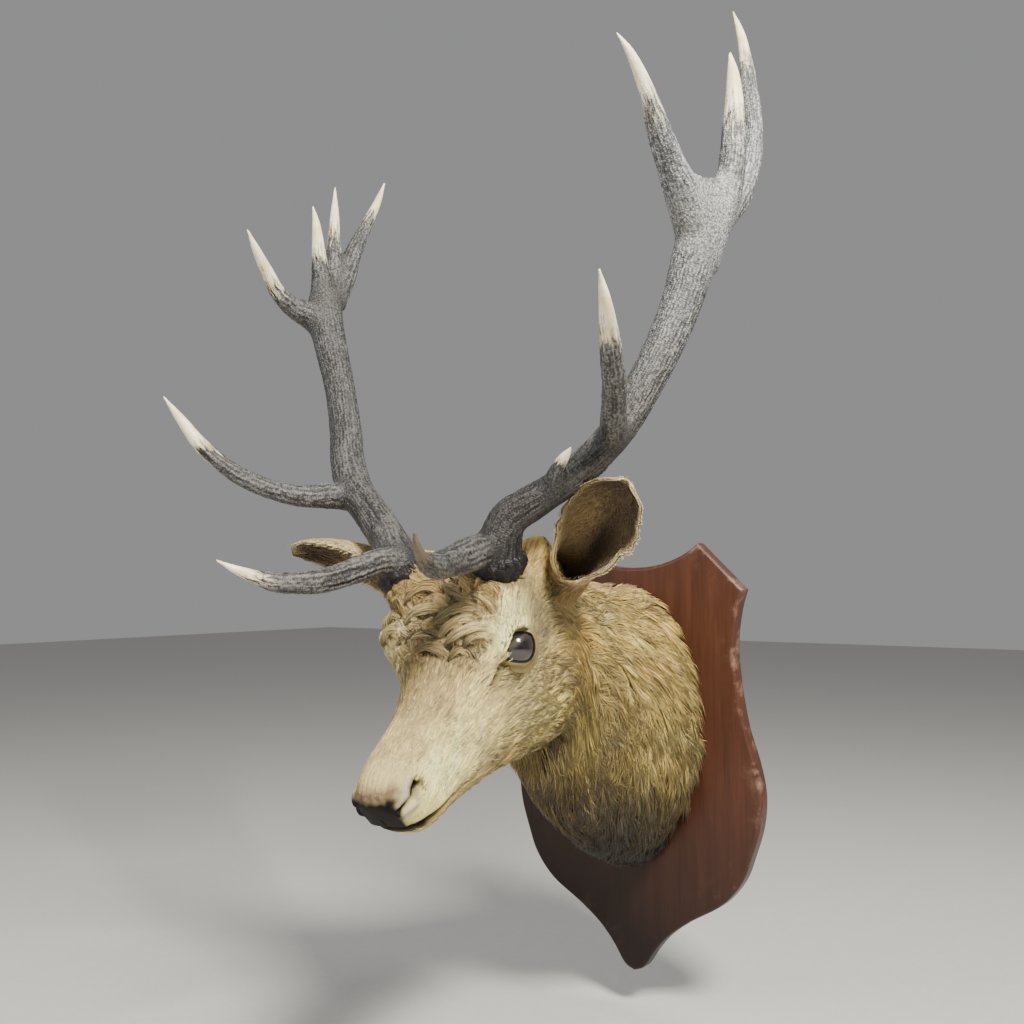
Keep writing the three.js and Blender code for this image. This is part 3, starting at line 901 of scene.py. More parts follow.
# The forehead's main locks, from root to tip, and their half widths.
LOCKS = [
    ([(-78, 271, 50), (-66, 273, 58), (-60, 281, 59), (-54, 289, 56)], 7.0),
    ([(-61, 256, 40), (-50, 267, 50), (-33, 279, 51), (-14, 279, 48), (-5, 272, 39)], 8.5),
    ([(-62, 241, 23), (-44, 253, 33), (-15, 252, 38), (17, 244, 39)], 8.5),
    ([(-7, 236, 34), (15, 243, 39), (36, 252, 34), (60, 249, 34)], 8.0),
    ([(2, 213, 24), (17, 228, 29), (34, 238, 29), (56, 238, 28)], 7.5),
    ([(14, 205, 22), (36, 213, 28), (55, 220, 29), (73, 229, 25)], 8.0),
    ([(-85, 236, 14), (-88, 251, 22), (-75, 256, 30), (-61, 249, 29)], 8.0),
    ([(-87, 222, 0), (-84, 229, 15), (-73, 234, 24), (-56, 232, 24)], 8.5),
    ([(36, 204, 14), (51, 213, 23), (64, 220, 20), (78, 218, 11)], 7.0),
    ([(-10, 284, 50), (12, 274, 46), (34, 263, 41), (60, 250, 37)], 8.0),
    ([(-12, 283, 53), (-8, 299, 52), (10, 296, 52), (36, 275, 56)], 6.5),
    ([(-70, 292, 58), (-60, 301, 62), (-45, 302, 63), (-28, 292, 58)], 7.0),
    ([(-46, 213, 18), (-36, 224, 21), (-14, 224, 23), (18, 207, 25)], 8.5),
    ([(-34, 199, 11), (-13, 206, 19), (9, 201, 19), (28, 190, 13)], 7.0),
    ([(24, 189, 13), (36, 203, 14), (47, 204, 8), (57, 192, -3)], 6.5),
    ([(36, 270, 53), (47, 277, 50), (60, 275, 44), (78, 259, 37)], 6.5),
    ([(36, 266, 45), (54, 260, 46), (67, 254, 37), (79, 243, 27)], 6.5),
    ([(-42, 260, 39), (-25, 270, 39), (2, 258, 41), (20, 243, 40)], 8.0),
    ([(63, 292, 44), (73, 298, 42), (86, 295, 40), (92, 306, 31)], 5.5),
]
# Hollows between the rolls, where the shade lies: path, depth, width.
FOREHEAD_POCKETS = [
    ([(12, 226, 30), (-16, 222, 29), (-44, 220, 26)], 6.0, 6.0),
    ([(44, 204, 20), (26, 200, 20)], 4.5, 5.0),
    ([(66, 216, 14), (60, 206, 12)], 6.0, 8.0),
    ([(-34, 200, 20), (-46, 196, 16)], 6.0, 6.0),
    ([(30, 258, 42), (6, 250, 38), (-26, 246, 34)], 5.0, 6.0),
    ([(-70, 268, 36), (-74, 256, 30)], 5.0, 8.0),
]


class Form:
    """Head and neck out to the tips of the coat, as a surface of t (along) and phi (round)."""

    def __init__(self) -> None:
        """Lays the rails along the stations."""
        axes, nose = POSE.axes, np.array(POSE.nose)
        head, neck = np.array(HEAD_ROWS, float), np.array(NECK_ROWS, float)
        sides = []
        for k in (0, 2):
            in_head, in_neck = (np.insert(rows[:, k:k + 2], 0, 0.0, axis=1) for rows in (head, neck))
            sides.append(np.vstack([nose + in_head @ axes, in_neck]))
        dorsal, ventral = sides
        self.t = running((size(np.diff(dorsal, axis=0)) + size(np.diff(ventral, axis=0))) / 2)
        self.end, self.head_end = self.t[-1], self.t[len(HEAD_ROWS) - 1]
        knots = np.hstack([dorsal[:, 1:], ventral[:, 1:], np.vstack([head, neck])[:, 4:]])
        self.rails = [Rail(self.t, y) for y in knots.T]

    def outline(self, t: Array, phi: Array) -> Array:
        """Points of the coat's outline: a superellipse between the rails of back and throat, with its widest
        line raised, then the swellings and the turn.

        Args:
            t: N places along.
            phi: N angles round, 0 on the back, positive on the stag's left.

        Returns:
            N by 3, in millimetres.
        """
        dy, dz, vy, vz, w, k, q = (rail(t) for rail in self.rails)
        c, s = np.cos(phi), np.sin(phi)
        skew = np.clip((c - k) / (1 - k * c), -1, 1)
        x = np.sign(s) * w * (1 - np.abs(skew) ** q) ** (1 / q)
        p = np.stack([x, (dy + vy) / 2 + c * (dy - vy) / 2, (dz + vz) / 2 + c * (dz - vz) / 2], axis=1)
        lab = (p - np.array(POSE.nose)) @ POSE.axes.T
        side = np.clip(lab[:, 0] / 15, -1, 1)
        for at, spread, push in SWELLINGS:
            r = np.stack([np.abs(lab[:, 0]), lab[:, 1], lab[:, 2]], axis=1) - np.array(at)
            g = np.exp(-np.sum((r / np.array(spread)) ** 2, axis=1))[:, None]
            shove = np.stack(
                [push[0] * side, np.full(len(side), push[1]), np.full(len(side), push[2])], axis=1
            )
            p = p + g * (shove @ POSE.axes)
        return POSE.turned(p, ease((self.end - t) / (self.end - self.head_end)))

    def slopes(self, t: Array, phi: Array) -> tuple[Array, Array, Array]:
        """The change with t, the change with phi, and the outward normal, by central differences.

        Args:
            t: N places along.
            phi: N angles round.

        Returns:
            Three arrays, N by 3.
        """
        e, f = 0.8, 0.012
        lo, hi = np.maximum(t - e, 0.05), np.minimum(t + e, self.end)
        d_t = (self.outline(hi, phi) - self.outline(lo, phi)) / (hi - lo)[:, None]
        d_f = (self.outline(t, phi + f) - self.outline(t, phi - f)) / (2 * f)
        return d_t, d_f, unit(np.cross(d_f, d_t))


FORM = Form()


# ------------------------------------------------------------------ the lie of the coat
@dataclass(frozen=True)
class Patch:
    """What the coat is like round one place: lie, length, width, height of the tips over the skin, colour."""

    at: Point
    lie: Point
    length: float
    width: float
    stand: float
    tint: Rgb
    spread: float = 45.0


# Head frame, mirrored: left, back, crown.
HEAD_PATCHES = [
    # The ear's root is painted dark brown, partly as painted shade under the ear.
    Patch((88, 380, -68), (0.0, 0.8, -0.7), 20, 1.3, 3.6, (100, 80, 52), 20),
    Patch((78, 425, -112), (0.0, 0.8, -0.7), 28, 1.4, 5.0, (120, 98, 62), 26),
    Patch((76, 282, 44), (0.1, -0.4, 0.9), 9, 0.95, 2.2, (176, 140, 96), 15),
    Patch((8, 30, 2), (0.2, 1, 0.2), 5, 0.8, 0.7, (214, 196, 152), 20),
    Patch((40, 55, -45), (0.0, 1, 0.15), 7, 0.85, 0.9, (252, 237, 178), 26),
    Patch((10, 80, 9), (0.15, 1, 0.1), 9, 0.9, 1.5, (207, 185, 139), 28),
    Patch((12, 140, 10), (0.2, 1, 0.1), 13, 1.0, 2.0, (181, 158, 116), 32),
    Patch((38, 100, -50), (0.0, 1, 0.0), 10, 0.95, 1.6, (250, 234, 174), 30),
    Patch((45, 150, -60), (0.0, 1, -0.05), 13, 1.05, 2.2, (223, 205, 154), 34),
    Patch((12, 182, 18), (0.3, 1, 0.2), 15, 1.1, 2.6, (169, 147, 107), 26),
    Patch((64, 205, -55), (0.1, 1, -0.15), 12, 1.05, 2.0, (202, 182, 137), 30),
    Patch((70, 240, -75), (0.0, 1, -0.35), 16, 1.15, 3.0, (198, 178, 126), 36),
    Patch((76, 280, -95), (0.0, 0.9, -0.6), 22, 1.3, 4.4, (199, 176, 117), 42),
    Patch((50, 190, -130), (0.0, 1, -0.2), 20, 1.25, 3.6, (210, 189, 132), 40),
    Patch((30, 150, -135), (0.0, 1, -0.35), 20, 1.25, 3.8, (195, 173, 120), 34),
    Patch((20, 90, -108), (0.1, 0.9, -0.5), 16, 1.15, 3.0, (216, 196, 137), 28),
    Patch((18, 42, -88), (0.2, 0.7, -0.7), 11, 1.0, 2.0, (226, 206, 139), 24),
    # The jaw angle's tint is lifted pale as painted light; the tint under the jaw is darkened, partly as
    # painted shade.
    Patch((56, 250, -180), (0.0, 0.85, -0.7), 30, 1.5, 6.0, (255, 232, 154), 44),
    Patch((10, 230, -200), (0.0, 0.8, -0.7), 32, 1.5, 7.0, (128, 106, 68), 44),
    Patch((84, 244, 14), (0.2, 0.8, 0.6), 9, 0.95, 1.5, (252, 240, 182), 26),
    Patch((92, 290, 0), (0.0, 1, 0.25), 12, 1.1, 2.2, (140, 129, 98), 34),
    Patch((90, 300, -45), (0.0, 0.95, -0.4), 16, 1.2, 3.0, (146, 130, 92), 34),
    Patch((84, 330, -110), (0.0, 0.7, -0.8), 30, 1.5, 6.0, (198, 169, 107), 42),
    Patch((84, 350, 30), (0.0, 1, 0.3), 13, 1.1, 2.2, (240, 204, 140), 34),
    Patch((94, 372, -50), (0.0, 0.8, -0.7), 20, 1.3, 3.6, (168, 144, 96), 34),
    Patch((0, 250, 40), (0.5, -0.8, -0.2), 22, 1.0, 6.5, (206, 184, 146), 40),
    Patch((52, 232, 32), (-0.4, -0.8, -0.3), 20, 1.0, 5.5, (204, 184, 146), 22),
    Patch((30, 300, 56), (0.2, -0.8, 0.1), 22, 1.05, 7.0, (176, 148, 108), 36),
    Patch((52, 276, 50), (0.3, -0.8, 0.1), 18, 1.05, 6.0, (186, 152, 104), 20),
    Patch((20, 350, 52), (0.0, 1, 0.2), 26, 1.4, 6.0, (232, 192, 126), 36),
]
# Object's frame, mirrored: x, y, z.
NECK_PATCHES = [
    Patch((20, -285, 300), (0.1, 0.95, -0.2), 32, 1.30, 7.0, (198, 171, 113), 50),
    Patch((70, -240, 262), (0.2, 0.8, -0.55), 40, 1.40, 8.0, (233, 206, 139), 50),
    Patch((30, -120, 258), (0.2, 0.8, -0.5), 46, 1.50, 10.0, (208, 179, 123), 60),
    Patch((108, -160, 190), (0.0, 0.66, -0.75), 50, 1.50, 11.0, (225, 198, 134), 60),
    Patch((110, -60, 190), (0.2, 0.6, -0.8), 50, 1.50, 12.0, (199, 174, 114), 55),
    Patch((100, -250, 120), (0.0, 0.55, -0.85), 46, 1.45, 10.0, (162, 140, 89), 55),
    Patch((114, -150, 70), (0.0, 0.34, -0.94), 56, 1.55, 13.0, (182, 161, 107), 60),
    Patch((119, -50, 60), (0.15, 0.34, -0.94), 56, 1.55, 14.0, (168, 148, 99), 55),
    # These low patches darken toward the underside: partly the throat's darker hair, partly painted shade
    # under the neck.
    Patch((80, -215, 10), (0.0, 0.25, -0.97), 54, 1.50, 13.0, (106, 91, 58), 55),
    Patch((105, -110, -60), (0.0, 0.15, -0.99), 60, 1.55, 15.0, (84, 71, 45), 62),
    Patch((20, -215, -40), (-0.1, 0.3, -0.95), 50, 1.50, 13.0, (76, 64, 44), 50),
    Patch((50, -150, -105), (0.0, 0.3, -0.95), 56, 1.50, 16.0, (28, 22, 13), 62),
    Patch((60, -50, -130), (0.1, 0.2, -0.98), 56, 1.55, 16.0, (28, 21, 12), 62),
]


# The cast over all of the coat's colours.
STRAW = np.array([0.98, 0.99, 0.84])


def over_pad(lab: Array, under: float) -> Array:
    """The brown band of hair along the top of the nose pad, so many millimetres under the nose's line."""
    return bell(lab[:, 2] + under, 6.5) * ease(-np.abs(lab[:, 0]), -36, -24) * ease(-lab[:, 1], -32, -18)


class Coat:
    """The lie, size and colour of the hair anywhere on the skin: a Gaussian-weighted mean of the patches."""

    def __init__(self) -> None:
        """Puts the patches of head and neck in the object's frame, on both sides."""
        at, lie, rest, tint, spread = [], [], [], [], []
        for side in (1, -1):
            flip = np.array([side, 1, 1])
            for patches, head in ((HEAD_PATCHES, True), (NECK_PATCHES, False)):
                for p in patches:
                    a, d = np.array(p.at, float) * flip, unit(np.array(p.lie, float)) * flip
                    at.append(POSE.world(a)[0] if head else a)
                    lie.append(POSE.direction(d)[0] if head else d)
                    rest.append((p.length, p.width, p.stand))
                    tint.append(linear(p.tint))
                    spread.append(p.spread)
        self.at, self.lie, self.rest = np.array(at), np.array(lie), np.array(rest)
        self.tint, self.spread = np.array(tint), np.array(spread)

    def weights(self, p: Array) -> Array:
        """Shares of the patches at points: Gaussians of distance, made to sum to one.

        Args:
            p: N by 3.

        Returns:
            N by the number of patches.
        """
        d2 = ((p[:, None, :] - self.at[None]) ** 2).sum(-1) / self.spread[None] ** 2
        g = np.exp(-(d2 - d2.min(1, keepdims=True)))
        return g / g.sum(1, keepdims=True)

    def measure(self, p: Array) -> tuple[Array, Array, Array, Array]:
        """The coat at points of the outline.

        Args:
            p: N by 3, millimetres.

        Returns:
            The lie (N by 3, not yet laid on the skin), length, width and stand.
        """
        w = self.weights(p)
        rest = w @ self.rest
        return unit(w @ self.lie), rest[:, 0], rest[:, 1], rest[:, 2]

    def colour(self, p: Array) -> Array:
        """The markings: the patches' colours with soft mottling, a warm band and dark tear lines, with
        painted shade in the forehead's hollows and on the far brow's knob.

        Args:
            p: N by 3, millimetres, on the outline.

        Returns:
            Linear colours, N by 3.
        """
        base = self.weights(p) @ self.tint * STRAW
        lab = POSE.local(p)
        base = base * (1 + 0.13 * noise(p / 26.0, 3, 3) + 0.08 * noise(p / 7.0, 5, 2))[:, None]
        warm = np.clip(noise(p / 38.0, 9, 2), -1, 1)[:, None] * ease(p[:, 1], -470, -380)[:, None]
        base = base * (1 + warm * np.array([0.06, 0.01, -0.08]))
        # The far (right) brow's knob is painted tan: partly the forehead curls' colour, partly painted shade
        # on the far side.
        knob = bell(size((lab - np.array([-84, 236, 14])) / [26, 34, 30]), 1.0)
        base = paint(base, (150, 128, 94), 0.8 * knob)
        top = on_forehead(lab)
        # Painted shade in the hollows between the forehead's rolls.
        for path, _, width in FOREHEAD_POCKETS:
            d, _ = near(lab[top], path)
            base[top] = paint(base[top], (50, 38, 33), 0.88 * bell(d, 0.6 * width))
        duct, _ = near(mirrored(lab), TEAR_DUCT)
        base = paint(base, (96, 78, 58), 0.7 * bell(duct, 5.0))
        base = paint(base, (124, 94, 80), 0.65 * over_pad(lab, 6) * (0.8 + 0.6 * noise(lab / 3.5, 6)))
        return np.clip(base, 0.004, 0.9)


# ------------------------------------------------------------------ the face's features, head frame, mirrored
TEAR_DUCT = [(76, 209, -16), (73, 206, -19), (66, 198, -28), (62, 192, -34)]
MOUTH = [
    (0, 4, -57), (14, 6, -57), (26, 11, -57), (35, 26, -64), (37, 46, -74), (36, 67, -84), (34, 90, -94),
    (35, 104, -99), (36, 117, -103),
]
NOSTRIL = [(44, 34, -21.5), (41, 27, -22.5), (37, 19, -23), (32.5, 11, -23.5), (28, 6, -25)]
WING_INNER = [(38, 36, -11), (36, 26, -14.5), (33, 16, -17), (30, 9, -19.5)]
WING_OUTER = [(49, 38, -26), (45, 28, -31), (38, 15, -30), (28, 5, -31)]
UNDER_LID = [(76, 209, -20), (82, 232, -46), (86, 262, -50), (88, 284, -44)]
# From a place on the lower lip's edge to the mouth's line.
UNDER_LIP = np.array([0.0, -1.0, 4.5])
# Rings of colour round the opening: colour, strength, where it begins and where it is full.
LID_RINGS = [
    ((196, 180, 148), 0.6, 1.45, 1.2), ((84, 68, 58), 0.9, 1.15, 1.05), ((26, 20, 18), 1.0, 1.04, 0.98)
]


@dataclass(frozen=True)
class EyeSet:
    """One eye: the glass ball's centre and size in the head frame, the way it looks and the lids' opening."""

    at: Point = (76.0, 243.5, -20.0)
    look: Point = (0.83, -0.42, 0.36)
    long_way: Point = (0.0, 1.0, -0.15)
    radius: float = 24.0
    half_long: float = 21.0
    upper: float = 17.5
    lower: float = 19.5
    lid: float = 1.2
    gap: float = 0.9

    @property
    def axes(self) -> Array:
        """The eye's own axes.

        Returns:
            Rows: towards the outer corner, up across the lids, out of the eye.
        """
        n = unit(np.array(self.look))
        u = unit(np.array(self.long_way) - n * (n @ np.array(self.long_way)))
        return np.array([u, np.cross(n, u), n])

    def opening(self, u: Array, v: Array) -> Array:
        """Where a place lies in the opening: 0 in the middle, 1 on the lids' edge; an almond, rounder above.

        Args:
            u: places along the eye.
            v: places across it.

        Returns:
            The measure.
        """
        half = np.where(v > 0, self.upper, self.lower)
        narrow = np.maximum(1 - np.abs(u / self.half_long) ** 1.6 * 0.45, 0.3)
        return np.sqrt((u / self.half_long) ** 2 + (v / (half * narrow)) ** 2)

    def placed(self, sign: int) -> tuple[Array, Array]:
        """The axes and the centre of the left (1) or the right (-1) eye, in the object's frame."""
        return POSE.direction(self.axes * [sign, 1, 1]), POSE.world(np.array(self.at) * [sign, 1, 1])[0]


EYE = EyeSet()


@dataclass(frozen=True)
class Skin:
    """The one skin under the coat, from the nose to the board."""

    columns: int = 252
    whorl_seed: int = 77

    def depth(self, p: Array) -> Array:
        """How far the skin lies inside the outline: the coat's stand, and a little more."""
        return COAT.measure(p)[3] * 0.95 + 0.6

    def whorl(self, lab: Array) -> tuple[Array, Array, Array]:
        """The curl that a place on the forehead belongs to: its centre is jittered on a grid over the head.

        Args:
            lab: N by 3, head frame.

        Returns:
            Distance from the curl's centre as a share of its reach, the way round it (N by 3, head frame),
            and its spin, 1 or -1.
        """
        rng = np.random.default_rng(self.whorl_seed)
        across, back = pairs(np.arange(-84, 92, 16.5), np.arange(190, 330, 18.0))
        centres = np.stack([across, back], axis=1) + rng.uniform(-6.5, 6.5, (across.size, 2))
        spins = np.sign(rng.uniform(-1, 1, across.size))
        reach = rng.uniform(9.0, 13.0, across.size)
        away = lab[:, None, :2] - centres[None]
        span = size(away) / reach[None]
        pick = span.argmin(1)
        row = np.arange(len(lab))
        rel, spin = away[row, pick], spins[pick]
        round_it = np.stack([-rel[:, 1] * spin, rel[:, 0] * spin, np.zeros(len(lab))], axis=1)
        outward_too = 0.35 * np.column_stack([rel, np.zeros(len(lab))])
        return span[row, pick], unit(round_it + outward_too + 1e-6), spin

    def curly(self, lab: Array) -> Array:
        """How much a place belongs to the curly forehead, between brows, burrs and nose bridge.

        Args:
            lab: N by 3, head frame.

        Returns:
            N shares.
        """
        across = ease(-np.abs(lab[:, 0]), -82, -62)
        front = ease(lab[:, 1] + 0.12 * np.abs(lab[:, 0]), 188, 212)
        return across * front * ease(-lab[:, 1], -330, -305) * ease(lab[:, 2], -8, 8)

    def relief(self, lab: Array) -> Array:
        """Heights over the plain skin: forehead rolls raised, grooves and folds let in.

        Args:
            lab: N by 3, head frame.

        Returns:
            N heights in millimetres.
        """
        m = mirrored(lab)
        out = np.zeros(len(lab))
        top = on_forehead(lab)
        if top.any():
            ridges = np.zeros(top.sum())
            for path, height, width in FOREHEAD_ROLLS:
                d, _ = near(lab[top], path)
                ridges = np.maximum(ridges, height * bell(d, width * 0.66))
            for path, height, width in FOREHEAD_POCKETS:
                d, _ = near(lab[top], path)
                ridges = ridges - height * bell(d, width)
            span, _, _ = self.whorl(lab[top] + 2.5 * noise(lab[top] / 9.0, 61, 2)[:, None])
            out[top] += (0.75 * ridges + 7.0 * np.clip(1 - span ** 2, -0.25, 1) - 3.0) * self.curly(lab[top])
        for path, height, width in BURR_RINGS:
            d, s = near(lab, path)
            out += height * bell(d, width) * (1 - 0.7 * ease(s, 0.55, 1.0))
        for path, height, width in ((TEAR_DUCT, -6.5, 3.4), (UNDER_LID, -2.0, 3.4)):
            d, s = near(m, path)
            out += height * bell(d, width) * ease(s, -0.3, 0.15)
        return out

    def place(self, t: Array, phi: Array, height: Array | float = 0.0) -> tuple[Array, Array]:
        """Points over the skin: the outline, less the coat's depth, plus the relief and a height.

        Args:
            t: N places along.
            phi: N angles round.
            height: how far over the skin.

        Returns:
            The points and the outward normals.
        """
        p = FORM.outline(t, phi)
        n = FORM.slopes(t, phi)[2]
        lift = self.relief(POSE.local(p)) - self.depth(p) + height
        return p + n * lift[:, None], n

    def over_ball(self, r: Array) -> Array:
        """The least height of the skin over an eye's middle: a sphere just over the ball out to a knee, then
        the cone that touches it.

        Args:
            r: distances from the way the eye looks.

        Returns:
            The heights.
        """
        top = EYE.radius + EYE.gap
        knee = 0.85 * top
        drop = math.sqrt(top ** 2 - knee ** 2)
        return np.where(
            r < knee, np.sqrt(np.maximum(top ** 2 - r * r, drop ** 2)), drop - (r - knee) * knee / drop
        )

    def features(self, p: Array, lab: Array, n: Array) -> tuple[Array, Array]:
        """Moves the skin for the mouth, nostrils, nose pad and eye sockets.

        Args:
            p: N by 3, the skin.
            lab: N by 3, the outline's own place in the head frame.
            n: N by 3, outward normals.

        Returns:
            The moved points, and how bare the skin is, 0 to 1.
        """
        m = mirrored(lab)
        lips, along = near(m, MOUTH)
        below = ease(-(lab[:, 2] + 57 + 0.33 * (lab[:, 1] - 10)), 0, 3)
        gape = np.interp(along, [0, 0.5, 1], [4.6, 3.6, 2.0])
        p = p - n * (
            7.0 * bell(lips, gape) * ease(-along, -1.0, -0.93) + 1.8 * below * bell(lips, 9.0)
        )[:, None]
        p = p + n * (1.2 * bell(lips - 5.5, 3.0))[:, None]
        slit, s = near(m, NOSTRIL)
        hole = np.interp(s, [0, 0.3, 0.5, 1.0], [22.0, 20.0, 8.0, 5.0])
        wide = np.interp(s, [0, 0.3, 0.5, 1.0], [9.0, 7.6, 3.4, 2.4])
        inward = unit(-n * 0.8 + POSE.direction(np.array([0.0, 0.6, 0.1])))
        p = p + inward * (hole * bell(slit, wide))[:, None]
        for path, height, width in ((WING_INNER, 4.2, 6.0), (WING_OUTER, 3.4, 4.5)):
            d, _ = near(m, path)
            p = p + n * (height * bell(d, width) * (1 - bell(slit, wide)))[:, None]
        pad = self.pad(lab)
        p = p - n * (3.4 * bell(size(lab - np.array([-32, 13, -32])), 21.0))[:, None]
        wrinkle = np.sin(lab[:, 0] * 0.95 + 1.4 * noise(lab / 9.0, 4)) * 0.55
        fold = ease(lab[:, 1], 8, 15) * ease(-lab[:, 1], -38, -22) * ease(lab[:, 2], -14, -6)
        fold = fold * ease(-np.abs(lab[:, 0]), -30, -20)
        cleft = 1.5 * bell(np.abs(lab[:, 0]), 1.6) * pad * ease(-lab[:, 2], 30, 40)
        p = p + n * (wrinkle * fold + 1.2 * pad - cleft)[:, None]
        bare = np.maximum(pad, 0.85 * bell(lips, gape) * ease(-along, -0.98, -0.85))
        bare = np.maximum(bare, 0.9 * bell(slit, 5.0))
        for sign in (1, -1):
            axes, centre = EYE.placed(sign)
            rel = p - centre
            near_eye = (size(rel) < 62) & (np.sign(lab[:, 0]) == sign)
            if not near_eye.any():
                continue
            u, v, out = (rel[near_eye] @ axes.T).T
            e = EYE.opening(u, v)
            flat = u * u + v * v
            lid = np.sqrt(np.maximum((EYE.radius + EYE.lid) ** 2 - flat, 0))
            sunk = np.sqrt(np.maximum((EYE.radius - 5) ** 2 - flat, 0)) - 2
            crease = 1.3 * bell(e - 1.75, 0.16) * ease(v, -4, 4)
            height = mix(out, lid, ease(-e, -2.2, -1.3)) - crease
            height = np.maximum(height, self.over_ball(np.sqrt(flat)))
            height = mix(height, sunk, ease(-e, -1.0, -0.9))
            p[near_eye] = rel[near_eye] @ axes.T @ axes - (out - height)[:, None] * axes[2] + centre
            bare[near_eye] = np.maximum(bare[near_eye], 0.7 * ease(-e, -1.2, -1.05))
        return p, np.clip(bare, 0, 1)

    def pad(self, lab: Array) -> Array:
        """How much a place belongs to the bare nose pad: narrowing from the nostrils to the lip.

        Args:
            lab: N by 3, head frame.

        Returns:
            N shares.
        """
        half = np.interp(-lab[:, 2], [0, 8, 18, 26, 40, 57], [28, 34, 35, 29, 26, 23])
        half = half + 10 * (lab[:, 0] < 0)
        top = np.interp(np.abs(lab[:, 0]), [0, 15, 27, 34], [-9.5, -9.5, -9, -13])
        edge = 2.6 * noise(lab / 7.0, 8, 2)
        inner, _ = near(lab, WING_INNER)
        share = ease(half - np.abs(lab[:, 0]) + edge, -3.5, 3.5) * ease(top - lab[:, 2] + edge, -6.5, 6.5)
        share = share * ease(lab[:, 2], -59.5, -56.5) * ease(-lab[:, 1], -26, -17)
        return share * (1 - bell(inner, 4.0))

    def colour(self, p: Array, lab: Array) -> Array:
        """Colours of the skin: the coat's markings, dark pad, lips and lid edges, pale wings of the nostrils,
        painted shade in the nostrils and along the crease under the eye.

        Args:
            p: N by 3, the outline.
            lab: N by 3, head frame.

        Returns:
            Linear colours, N by 3.
        """
        m = mirrored(lab)
        tint = COAT.colour(p) * 0.9
        pad = self.pad(lab)
        lips, along = near(m, MOUTH)
        slit, s = near(m, NOSTRIL)
        inner, _ = near(m, WING_INNER)
        outer, _ = near(m, WING_OUTER)
        tint = paint(tint, (118, 88, 78), 0.65 * over_pad(lab, 7) * (0.75 + 0.5 * noise(lab / 3.0, 6)))
        tint = paint(tint, (176, 165, 150), 0.9 * bell(inner, 5.2) * (1 - pad))
        tint = paint(tint, (186, 160, 146), 0.75 * bell(outer, 4.0))
        worn = mix(linear((40, 26, 20)), linear((9, 5, 4)), ease(-lab[:, 2], 6, 18)[:, None])
        tint = mix(tint, worn * (1 + 0.3 * noise(p / 3.0, 2, 2))[:, None], pad[:, None])
        chin = ease(-lab[:, 2], 54, 58) * ease(-lab[:, 1], -34, -22) * ease(-np.abs(lab[:, 0]), -38, -30)
        tint = paint(tint, (34, 25, 20), 0.9 * chin)
        dark_lip = np.interp(along, [0, 0.3, 0.6, 1.0], [8.5, 6.2, 4.2, 2.2])
        hang, _ = near(m + UNDER_LIP, MOUTH)
        dark = np.maximum(bell(lips, dark_lip), bell(hang, dark_lip * 0.9) * ease(-along, -0.75, -0.45))
        tint = paint(tint, (30, 22, 18), 0.95 * dark * ease(-along, -1.0, -0.92))
        # Painted shade: the nostril openings are painted near black.
        wide = np.interp(s, [0, 0.3, 0.5, 1.0], [8.2, 6.8, 3.0, 2.1])
        tint = paint(tint, (10, 8, 7), np.clip(1.2 * bell(slit, wide), 0, 1))
        # The tear duct's dark skin, and painted shade along the crease under the lower lid.
        for path, strength, width in ((TEAR_DUCT, 0.97, 3.0), (UNDER_LID, 0.5, 2.6)):
            d, _ = near(m, path)
            tint = paint(tint, (46, 36, 30), strength * bell(d, width))
        u, v, out = ((m - np.array(EYE.at)) @ EYE.axes.T).T
        e = EYE.opening(u, v)
        front = ease(out, 2, 10) * (np.abs(lab[:, 0]) > 30)
        for rgb, strength, outer_edge, inner_edge in LID_RINGS:
            tint = paint(tint, rgb, strength * ease(-e, -outer_edge, -inner_edge) * front)
        return tint

    def spaced(self, fine: Array, rate: Array, count: int | None = None) -> Array:
        """Places along a fine scale, as close together as the rate at each place says.

        Args:
            fine: the scale.
            rate: places per unit of the scale, or only how they vary where a count is given.
            count: how many places, or as many as the rate needs.

        Returns:
            The places.
        """
        run = running((rate[1:] + rate[:-1]) / 2 * np.diff(fine))
        return np.interp(np.linspace(0, run[-1], count or int(run[-1]) + 1), run, fine)

    def grid(self) -> tuple[Array, Array]:
        """Rows along and columns round: close together at nose, eye and nostril, wider on the neck.

        Returns:
            The rows' places along and the columns' angles.
        """
        fine = np.linspace(0.3, FORM.end, 4000)
        t_knots = [0, 70, 100, 190, 215, 300, 335, FORM.end]
        t = self.spaced(fine, 1 / np.interp(fine, t_knots, [0.8, 1.0, 1.9, 1.9, 1.35, 1.35, 2.8, 6.0]))
        fine = np.linspace(-math.pi, math.pi, 4000)
        closeness = [0.55, 0.6, 1.0, 1.0, 0.8, 0.7, 0.45, 0.4]
        dense = np.interp(np.degrees(np.abs(fine)), [0, 30, 38, 88, 95, 125, 135, 180], closeness)
        return t, self.spaced(fine, dense, self.columns + 1)[:-1]

    def build(self) -> Shape:
        """The skin of head and neck as a closed grid with a pole at the nose.

        Returns:
            The shape with its colours, bareness, hair direction and unwrap.
        """
        t, phi = self.grid()
        tt, ff = pairs(t, phi)
        outline = FORM.outline(tt, ff)
        lab = POSE.local(outline)
        p, n = self.place(tt, ff)
        p, bare = self.features(p, lab, n)
        tint = self.colour(outline, lab)
        d_f = size(FORM.slopes(tt, ff)[1])
        fibre = np.stack([tt, ff * np.maximum(d_f, 20.0), np.zeros(len(tt))], axis=1) * MM
        unwrap = np.stack([ff / (2 * math.pi) + 0.5, 0.8 * tt / FORM.end], axis=1)
        ends = [0, -1]
        return Shape(
            np.vstack([p, poles(p, len(phi))]), tube_faces(len(t), len(phi)),
            np.vstack([tint, tint[ends]]), np.vstack([unwrap, unwrap[ends]]),
            {"Bare": np.append(bare, bare[ends]), "Fibre": np.vstack([fibre, fibre[ends]])},
        )


